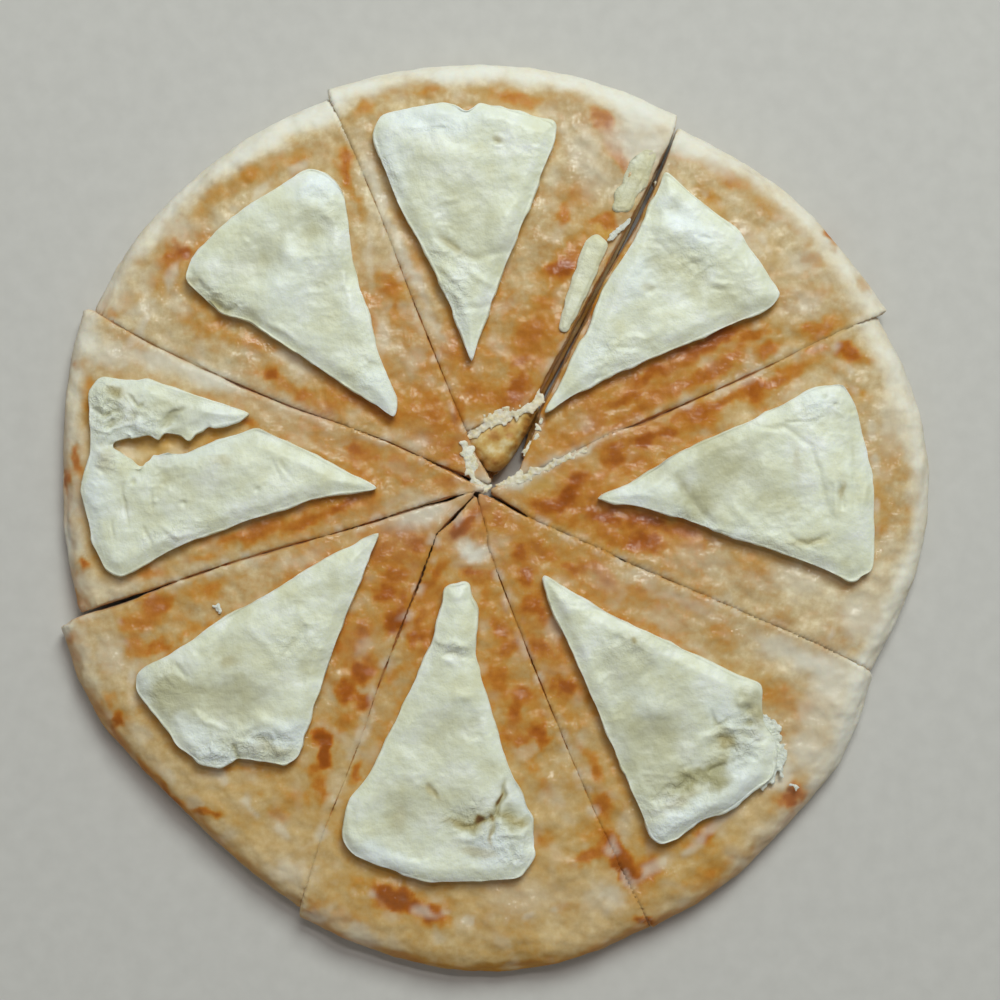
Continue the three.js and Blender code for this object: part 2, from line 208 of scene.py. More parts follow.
@dataclass(frozen=True)
class Fold:
    """A ridge or a crease along a bent line.

    Attributes:
        bend: whether it stands up or sinks in.
        line: the X and Y of its points in millimetres.
        width: half its width.
        height: how far it stands up or sinks in.
    """

    bend: Bend
    line: tuple[tuple[float, float], ...]
    width: float
    height: float

    def lift(self, across: np.ndarray, up: np.ndarray) -> np.ndarray:
        """Says how far the fold lifts each point.

        Args:
            across: the points' X in millimetres.
            up: the points' Y in millimetres.

        Returns:
            Millimetres, less than nothing for a crease.
        """
        nearest = np.full(len(across), 1e9)
        taper = np.ones(len(across))
        legs = len(self.line) - 1
        for leg, (start, end) in enumerate(zip(self.line, self.line[1:])):
            run = np.subtract(end, start)
            share = ((across - start[0]) * run[0] + (up - start[1]) * run[1]) / np.dot(run, run)
            share = np.clip(share, 0, 1)
            gap = np.hypot(across - start[0] - share * run[0], up - start[1] - share * run[1])
            closer = gap < nearest
            nearest = np.where(closer, gap, nearest)
            whole = (leg + share) / legs
            taper = np.where(closer, 1 - np.abs(2 * whole - 1) ** 3, taper)
        slope = np.exp(-(nearest / self.width) ** 2)
        return self.bend.value * self.height * slope * taper


def ridge(width: float, height: float, *line: tuple[float, float]) -> Fold:
    """Makes a fold that stands up along the line."""
    return Fold(Bend.RIDGE, line, width, height)


def crease(width: float, depth: float, *line: tuple[float, float]) -> Fold:
    """Makes a fold that sinks in along the line."""
    return Fold(Bend.CREASE, line, width, depth)


@dataclass(frozen=True)
class Nudge:
    """A soft sideways push on everything near a line.

    Attributes:
        start, end: the line's ends, X and Y in millimetres.
        reach: how far from the line the push dies out.
        push: how far it pushes along X and Y.
    """

    start: tuple[float, float]
    end: tuple[float, float]
    reach: float
    push: tuple[float, float]

    def shift(self, points: np.ndarray) -> np.ndarray:
        """Says how far each point is pushed.

        Args:
            points: places in millimetres.

        Returns:
            Millimetres along X, Y and Z for each point.
        """
        run = np.subtract(self.end, self.start)
        away = points[:, :2] - self.start
        share = np.clip(away @ run / max(np.dot(run, run), 1e-9), 0, 1)
        gap = np.linalg.norm(away - np.outer(share, run), axis=1)
        return np.outer(1 - rise(gap, 0, self.reach), (*self.push, 0))


def corner(x: float, y: float, reach: float, push_x: float, push_y: float) -> Nudge:
    """Makes a nudge round one place."""
    return Nudge((x, y), (x, y), reach, (push_x, push_y))


@dataclass
class Clay:
    """A fine, even mesh whose points are pushed and painted like clay.

    Attributes:
        piece: the object that holds the mesh.
        points: its points in millimetres.
        normals: the way each point faces.
    """

    piece: bpy.types.Object
    points: np.ndarray = field(init=False)
    normals: np.ndarray = field(init=False)

    def __post_init__(self) -> None:
        """Reads the points from the mesh."""
        self.read()

    def read(self) -> None:
        """Reads the points and their normals from the mesh."""
        mesh = self.piece.data
        count = len(mesh.vertices)
        flat = np.empty(count * 3)
        mesh.vertices.foreach_get("co", flat)
        self.points = flat.reshape(-1, 3) / MM
        flat = np.empty(count * 3, dtype=np.float32)
        mesh.vertex_normals.foreach_get("vector", flat)
        self.normals = flat.reshape(-1, 3).astype(float)

    def steep(self, low: float, high: float) -> np.ndarray:
        """Steps from 0 to 1 between two steepnesses, of which 0 is level and 1 is upright."""
        return rise(1 - np.abs(self.normals[:, 2]), low, high)

    def walls(self) -> np.ndarray:
        """Gives every second point of the walls."""
        return self.points[np.abs(self.normals[:, 2]) < 0.5][::2]

    def move(self, shift: np.ndarray) -> None:
        """Moves each point.

        Args:
            shift: millimetres for each point, one row each.
        """
        self.points = self.points + shift
        self.piece.data.vertices.foreach_set("co", (self.points * MM).ravel())
        self.piece.data.update()
        self.read()

    def push(self, height: np.ndarray) -> None:
        """Pushes each point out along its normal by so many millimetres."""
        self.move(self.normals * height[:, None])

    def press_foot(self, depth: float) -> None:
        """Presses the underside down by so many millimetres."""
        foot = rise(-self.normals[:, 2], 0.2, 0.6)
        self.move(np.outer(foot, (0, 0, -depth)))

    def nudge(self, nudges: tuple[Nudge, ...]) -> None:
        """Pushes the points sideways by all the nudges."""
        for nudge in nudges:
            self.move(nudge.shift(self.points))

    def smooth(self, rounds: int, upright: bool = True) -> None:
        """Smooths the mesh.

        Args:
            rounds: how many rounds of smoothing.
            upright: whether the points move up and down too, or in plan only.
        """
        soften = self.piece.modifiers.new("soft", "SMOOTH")
        soften.factor = 0.5
        soften.iterations = rounds
        soften.use_z = upright
        settled(self.piece)
        self.read()

    def paint(self, name: str, values: np.ndarray) -> None:
        """Stores one number for each point under a name that a finish reads."""
        layer = self.piece.data.attributes.new(name, "FLOAT", "POINT")
        layer.data.foreach_set("value", np.clip(values, 0, 1).astype(np.float32))


def shown(name: str, shape: bmesh.types.BMesh) -> bpy.types.Object:
    """Puts a working mesh in the scene as an object.

    Args:
        name: the new object's name.
        shape: the working mesh, which is used up.

    Returns:
        The object.
    """
    mesh = bpy.data.meshes.new(name)
    shape.to_mesh(mesh)
    shape.free()
    piece = bpy.data.objects.new(name, mesh)
    bpy.context.scene.collection.objects.link(piece)
    return piece


def settled(piece: bpy.types.Object) -> bpy.types.Object:
    """Applies a piece's modifiers to its mesh.

    Args:
        piece: an object with modifiers.

    Returns:
        The same object, with none left.
    """
    view = bpy.context.evaluated_depsgraph_get()
    old = piece.data
    mesh = bpy.data.meshes.new_from_object(piece.evaluated_get(view))
    mesh.name = piece.name
    piece.modifiers.clear()
    piece.data = mesh
    bpy.data.meshes.remove(old)
    return piece


def evened(piece: bpy.types.Object, grain: float, softening: int, rounding: int = 0) -> Clay:
    """Meshes a piece again with even small faces and softens its corners.

    Args:
        piece: the object to mesh.
        grain: size of a face in millimetres.
        softening: rounds of smoothing all ways.
        rounding: rounds of smoothing in plan only, which keep a flat top's edge crisp.

    Returns:
        The piece as clay.
    """
    remesh = piece.modifiers.new("even faces", "REMESH")
    remesh.mode = "VOXEL"
    remesh.voxel_size = grain * MM
    remesh.use_smooth_shade = True
    round_off = piece.modifiers.new("round corners in plan", "SMOOTH")
    round_off.factor = 0.5
    round_off.iterations = rounding
    round_off.use_z = False
    soften = piece.modifiers.new("soft corners", "SMOOTH")
    soften.factor = 0.5
    soften.iterations = softening
    return Clay(settled(piece))


def cad_clay(node: str, name: str, grain: float, softening: int, rounding: int = 0) -> Clay:
    """Copies a CAD node into a piece of clay.

    Args:
        node: the CAD node.
        name: the new piece's name.
        grain: size of a face in millimetres.
        softening: rounds of smoothing all ways.
        rounding: rounds of smoothing in plan only.

    Returns:
        The piece as clay.
    """
    shape = bmesh.new()
    shape.from_mesh(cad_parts[node].data)
    bmesh.ops.remove_doubles(shape, verts=shape.verts, dist=0.001 * MM)
    return evened(shown(name, shape), grain, softening, rounding)


def distances(points: np.ndarray, spots: np.ndarray, which: np.ndarray) -> np.ndarray:
    """Measures in plan how far some points lie from the nearest of the spots.

    Args:
        points: places in millimetres.
        spots: the places to measure from.
        which: the row numbers of the points to measure.

    Returns:
        Millimetres for each point, and a long way for those not measured.
    """
    far = 50.0
    tree = KDTree(len(spots))
    for at, spot in enumerate(spots):
        tree.insert((spot[0], spot[1], 0), at)
    tree.balance()
    gaps = np.full(len(points), far)
    for at in which:
        gaps[at] = tree.find((points[at, 0], points[at, 1], 0))[2]
    return gaps


def add(tree: bpy.types.NodeTree, kind: str, settings: dict | None = None,
        links: dict | None = None) -> bpy.types.Node:
    """Adds one shader node.

    Args:
        tree: the material's node tree.
        kind: the node's type.
        settings: the node's own settings, and "stops" for a colour ramp.
        links: for each socket, a value or another node's output.

    Returns:
        The node.
    """
    node = tree.nodes.new(kind)
    settings, links = settings or {}, links or {}
    for name, value in settings.items():
        if name != "stops":
            setattr(node, name, value)
    stops = settings.get("stops", ())
    for at, (place, colour) in enumerate(stops):
        line = node.color_ramp.elements
        stop = line[at] if at < 2 else line.new(place)
        stop.position = place
        stop.color = linear(colour)
    for name, value in links.items():
        if isinstance(value, bpy.types.NodeSocket):
            tree.links.new(value, node.inputs[name])
        else:
            node.inputs[name].default_value = value
    return node


def material(name: str) -> bpy.types.Material:
    """Makes an empty node material.

    Args:
        name: the material's name.

    Returns:
        The material, with no nodes.
    """
    made = bpy.data.materials.new(name)
    made.use_nodes = True
    made.node_tree.nodes.clear()
    return made


def grain_scale(size: float) -> float:
    """Gives the texture scale whose grains are so many millimetres wide."""
    return 1 / (size * MM)


# ---------------------------------------------------------------- finishes


@dataclass(frozen=True)
class EggWashedCrust:
    """Yeast dough brushed with egg and oven baked.

    The egg dries to a thin clear gloss over dough that runs from pale cream through tan and
    amber to dark brown where it blistered. Where it is cut, the matt white crumb shows. Its
    colour also holds painted light: painted shade on the cheese's low side, and painted sheen
    in its whitish patches and on the rim.

    Attributes:
        name: the material's name.
        mottle: width of the broad patches of browning, in millimetres.
        freckle: width of the fine flecks of browning.
        pore: width of the skin's pores, drawn coarser than they are so that they show.
        skin_wrinkle: width of the dried skin's wrinkles.
        glaze_wrinkle: width of the ripples in the egg glaze.
    """

    name: str = "oven_baked_egg_washed_dough"
    mottle: float = 7.0
    freckle: float = 1.9
    pore: float = 0.9
    skin_wrinkle: float = 4.2
    glaze_wrinkle: float = 1.0

    def make(self) -> bpy.types.Material:
        """Builds the material.

        Returns:
            The material, which reads the attributes bake, pale, veil, gold, crumb and damp.
        """
        made = material(self.name)
        tree = made.node_tree
        place = add(tree, "ShaderNodeTexCoord").outputs["Object"]
        paint = {
            name: add(tree, "ShaderNodeAttribute", {"attribute_name": name}).outputs["Fac"]
            for name in ("bake", "pale", "veil", "gold", "crumb", "damp")
        }
        patches, freckles, wrinkles, pores, ripples = [
            add(tree, "ShaderNodeTexNoise", {}, {
                "Vector": place, "Scale": grain_scale(width), "Detail": detail, "Roughness": rough,
            }).outputs["Fac"]
            for width, detail, rough in (
                (self.mottle, 4.0, 0.6), (self.freckle, 3.0, 0.55), (self.skin_wrinkle, 1.0, 0.4),
                (self.pore, 2.0, 0.6), (self.glaze_wrinkle, 2.0, 0.5),
            )
        ]
        blotch, fleck = [
            add(tree, "ShaderNodeMapRange", {}, {
                "Value": noise, "From Min": 0.3, "From Max": 0.7, "To Min": -most, "To Max": most,
            }).outputs["Result"]
            for noise, most in ((patches, 0.08), (freckles, 0.065))
        ]
        mottled = add(tree, "ShaderNodeMath", {"operation": "ADD"}, {0: blotch, 1: fleck})
        baked = add(tree, "ShaderNodeMath", {"operation": "ADD", "use_clamp": True}, {
            0: paint["bake"], 1: mottled.outputs[0],
        }).outputs[0]
        colour = add(tree, "ShaderNodeValToRGB", {"stops": (
            (0.0, "#eee0bd"), (1.0, "#97490a"), (0.13, "#dfcaa0"), (0.26, "#cdb181"),
            (0.38, "#c69d63"), (0.5, "#c7893c"), (0.63, "#c06f1b"), (0.79, "#ab560b"),
        )}, {"Fac": baked}).outputs["Color"]
        # The rim's pale band: partly a dusting on the dough, partly painted sheen.
        floury_and_sheen = add(tree, "ShaderNodeMath", {"operation": "MULTIPLY", "use_clamp": True}, {
            0: paint["pale"], 1: add(tree, "ShaderNodeMapRange", {}, {
                "Value": patches, "From Min": 0.25, "From Max": 0.6, "To Min": 0.45, "To Max": 1.0,
            }).outputs["Result"],
        }).outputs[0]
        # butterfat and the painted shade beside the cheese, pale wet dough and painted sheen, the
        # rim's dusting and its painted sheen, and the crumb in the cuts, each laid over the ones
        # before
        for share, tone in (
            (paint["gold"], "#cda04c"), (paint["veil"], "#e6e0cf"), (floury_and_sheen, "#f3f3ea"),
            (paint["crumb"], "#f0e3c3"),
        ):
            colour = add(tree, "ShaderNodeMix", {"data_type": "RGBA"}, {
                MIX_SHARE: share, MIX_UNDER: colour, MIX_OVER: linear(tone),
            }).outputs[MIX_RESULT]
        rough_skin = add(tree, "ShaderNodeBump", {}, {
            "Strength": 0.65, "Distance": 0.9 * MM, "Height": wrinkles,
        }).outputs["Normal"]
        relief = add(tree, "ShaderNodeBump", {}, {
            "Strength": 0.35, "Distance": 0.14 * MM, "Height": pores, "Normal": rough_skin,
        }).outputs["Normal"]
        glaze_relief = add(tree, "ShaderNodeBump", {}, {
            "Strength": 0.65, "Distance": 0.5 * MM, "Height": ripples, "Normal": relief,
        }).outputs["Normal"]
        dull = add(tree, "ShaderNodeMapRange", {}, {
            "Value": paint["damp"],
            "From Min": 0.0, "From Max": 1.0, "To Min": 0.66, "To Max": 0.46,
        }).outputs["Result"]
        shader = add(tree, "ShaderNodeBsdfPrincipled", {}, {
            "Base Color": colour,
            "Roughness": dull,
            "IOR": 1.46,
            "Specular IOR Level": 0.08,
            "Coat Weight": paint["damp"],
            "Coat Roughness": 0.1,
            "Coat IOR": 1.45,
            "Coat Normal": glaze_relief,
            "Subsurface Weight": 0.12,
            "Subsurface Radius": (1.0, 0.6, 0.3),
            "Subsurface Scale": 1.2 * MM,
            "Normal": relief,
        }).outputs["BSDF"]
        add(tree, "ShaderNodeOutputMaterial", {}, {"Surface": shader})
        return made


@dataclass(frozen=True)
class SoftenedCheese:
    """Fresh brined cow's milk cheese, sliced and softened by the oven's heat.

    It is pale, faintly green and slightly see-through at thin edges, with a satin damp skin;
    hollows hold yellow whey and butterfat, and a few deep cracks are browned. Its colour also
    holds painted light: painted shade in its hollows, creases and walls, and painted highlight in
    its bluish white.

    Attributes:
        name: the material's name.
        cloud: width of the paler and creamier clouds, in millimetres.
        curd: width of the pressed curds that stand out softly.
        fibre: width of the shreds where the cheese is torn.
        pore: width of the pores, drawn coarser than they are so that they show.
    """

    name: str = "oven_softened_brined_cheese"
    cloud: float = 9.0
    curd: float = 2.4
    fibre: float = 1.7
    pore: float = 0.8

    def make(self) -> bpy.types.Material:
        """Builds the material.

        Returns:
            The material, which reads the attributes hollow, stain_and_shade, thin,
            fresh_and_highlight and fibrous.
        """
        made = material(self.name)
        tree = made.node_tree
        place = add(tree, "ShaderNodeTexCoord").outputs["Object"]
        paint = {
            name: add(tree, "ShaderNodeAttribute", {"attribute_name": name}).outputs["Fac"]
            for name in ("hollow", "stain_and_shade", "thin", "fresh_and_highlight", "fibrous")
        }
        clouds, curds, pores, fibres = [
            add(tree, "ShaderNodeTexNoise", {}, {
                "Vector": place, "Scale": grain_scale(width), "Detail": detail, "Roughness": rough,
                "Distortion": warp,
            }).outputs["Fac"]
            for width, detail, rough, warp in (
                (self.cloud, 4.0, 0.55, 0.0), (self.curd, 3.0, 0.55, 0.0), (self.pore, 2.0, 0.6, 0.0),
                (self.fibre, 3.0, 0.6, 1.6),
            )
        ]
        colour = add(tree, "ShaderNodeValToRGB", {"stops": (
            (0.3, "#e3e3c4"), (0.7, "#f4f7ee"), (0.5, "#ebeed9"),
        )}, {"Fac": clouds}).outputs["Color"]
        charred = add(tree, "ShaderNodeMapRange", {}, {
            "Value": paint["stain_and_shade"],
            "From Min": 0.55, "From Max": 0.9, "To Min": 0.0, "To Max": 0.75,
        }).outputs["Result"]
        # bluish white, partly painted highlight; hollows, partly whey and partly painted shade; thin
        # edges and walls, partly painted shade; stained spots with painted shade in a few creases;
        # and browned cracks; one over the other
        for share, tone in (
            (paint["fresh_and_highlight"], "#eff7f7"), (paint["hollow"], "#b9b48a"), (paint["thin"], "#d6cda2"),
            (paint["stain_and_shade"], "#a8903a"), (charred, "#6d3a26"),
        ):
            colour = add(tree, "ShaderNodeMix", {"data_type": "RGBA"}, {
                MIX_SHARE: share, MIX_UNDER: colour, MIX_OVER: linear(tone),
            }).outputs[MIX_RESULT]
        soft = add(tree, "ShaderNodeBump", {}, {
            "Strength": 0.7, "Distance": 0.5 * MM, "Height": curds,
        }).outputs["Normal"]
        shredded = add(tree, "ShaderNodeBump", {}, {
            "Strength": paint["fibrous"], "Distance": 1.1 * MM, "Height": fibres, "Normal": soft,
        }).outputs["Normal"]
        relief = add(tree, "ShaderNodeBump", {}, {
            "Strength": 0.4, "Distance": 0.16 * MM, "Height": pores, "Normal": shredded,
        }).outputs["Normal"]
        shine = add(tree, "ShaderNodeMapRange", {}, {
            "Value": clouds, "From Min": 0.3, "From Max": 0.7, "To Min": 0.58, "To Max": 0.44,
        }).outputs["Result"]
        shader = add(tree, "ShaderNodeBsdfPrincipled", {}, {
            "Base Color": colour,
            "Roughness": shine,
            "IOR": 1.44,
            "Coat Weight": 0.22,
            "Coat Roughness": 0.3,
            "Subsurface Weight": 0.3,
            "Subsurface Radius": (1.0, 0.95, 0.7),
            "Subsurface Scale": 1.6 * MM,
            "Normal": relief,
        }).outputs["BSDF"]
        add(tree, "ShaderNodeOutputMaterial", {}, {"Surface": shader})
        return made


@dataclass(frozen=True)
class BakedCurd:
    """Crumbled brined cheese baked inside the bread.

    It is matt and grainy, white with cream, and where it lay open to the heat it melted to a
    smooth yellow glaze.

    Attributes:
        name: the material's name.
        crumb: width of a crumb's pale and creamy patches, in millimetres.
        puddle: width of the glaze's darker and paler puddles.
        grit: width of the grains on a crumb.
    """

    name: str = "baked_crumbled_curd_cheese"
    crumb: float = 1.6
    puddle: float = 4.5
    grit: float = 0.6

    def make(self) -> bpy.types.Material:
        """Builds the material.

        Returns:
            The material, which reads the attribute melt.
        """
        made = material(self.name)
        tree = made.node_tree
        place = add(tree, "ShaderNodeTexCoord").outputs["Object"]
        melt = add(tree, "ShaderNodeAttribute", {"attribute_name": "melt"}).outputs["Fac"]
        crumbs, puddles, grit = [
            add(tree, "ShaderNodeTexNoise", {}, {
                "Vector": place, "Scale": grain_scale(width), "Detail": detail, "Roughness": rough,
            }).outputs["Fac"]
            for width, detail, rough in (
                (self.crumb, 4.0, 0.6), (self.puddle, 3.0, 0.5), (self.grit, 3.0, 0.65),
            )
        ]
        white = add(tree, "ShaderNodeValToRGB", {"stops": (
            (0.32, "#e2d3a6"), (0.62, "#f6f2e2"), (0.46, "#efe7cc"),
        )}, {"Fac": crumbs}).outputs["Color"]
        glaze = add(tree, "ShaderNodeValToRGB", {"stops": (
            (0.3, "#a9692a"), (0.7, "#ecdaac"), (0.44, "#c8954b"), (0.56, "#dab66d"),
        )}, {"Fac": puddles}).outputs["Color"]
        colour = add(tree, "ShaderNodeMix", {"data_type": "RGBA"}, {
            MIX_SHARE: melt, MIX_UNDER: white, MIX_OVER: glaze,
        }).outputs[MIX_RESULT]
        graininess = add(tree, "ShaderNodeMapRange", {}, {
            "Value": melt, "From Min": 0.0, "From Max": 1.0, "To Min": 0.6, "To Max": 0.03,
        }).outputs["Result"]
        relief = add(tree, "ShaderNodeBump", {}, {
            "Strength": graininess, "Distance": 0.25 * MM, "Height": grit,
        }).outputs["Normal"]
        shine = add(tree, "ShaderNodeMapRange", {}, {
            "Value": melt, "From Min": 0.0, "From Max": 1.0, "To Min": 0.62, "To Max": 0.36,
        }).outputs["Result"]
        shader = add(tree, "ShaderNodeBsdfPrincipled", {}, {
            "Base Color": colour,
            "Roughness": shine,
            "IOR": 1.45,
            "Subsurface Weight": 0.25,
            "Subsurface Radius": (1.0, 0.85, 0.5),
            "Subsurface Scale": 1.0 * MM,
            "Normal": relief,
        }).outputs["BSDF"]
        add(tree, "ShaderNodeOutputMaterial", {}, {"Surface": shader})
        return made


@dataclass(frozen=True)
class PaintedTable:
    """Matt painted board: a plain pale ground with a barely seen grain.

    Attributes:
        name: the material's name.
        speck: width of the grain, in millimetres.
    """

    name: str = "matt_painted_board"
    speck: float = 6.0

    def make(self) -> bpy.types.Material:
        """Builds the material.

        Returns:
            The material.
        """
        made = material(self.name)
        tree = made.node_tree
        place = add(tree, "ShaderNodeTexCoord").outputs["Object"]
        specks = add(tree, "ShaderNodeTexNoise", {}, {
            "Vector": place, "Scale": grain_scale(self.speck), "Detail": 2.0,
        }).outputs["Fac"]
        colour = add(tree, "ShaderNodeValToRGB", {"stops": (
            (0.3, "#cbc8c3"), (0.7, "#d0cdc8"),
        )}, {"Fac": specks}).outputs["Color"]
        shader = add(tree, "ShaderNodeBsdfPrincipled", {}, {
            "Base Color": colour, "Roughness": 0.85,
        }).outputs["BSDF"]
        add(tree, "ShaderNodeOutputMaterial", {}, {"Surface": shader})
        return made
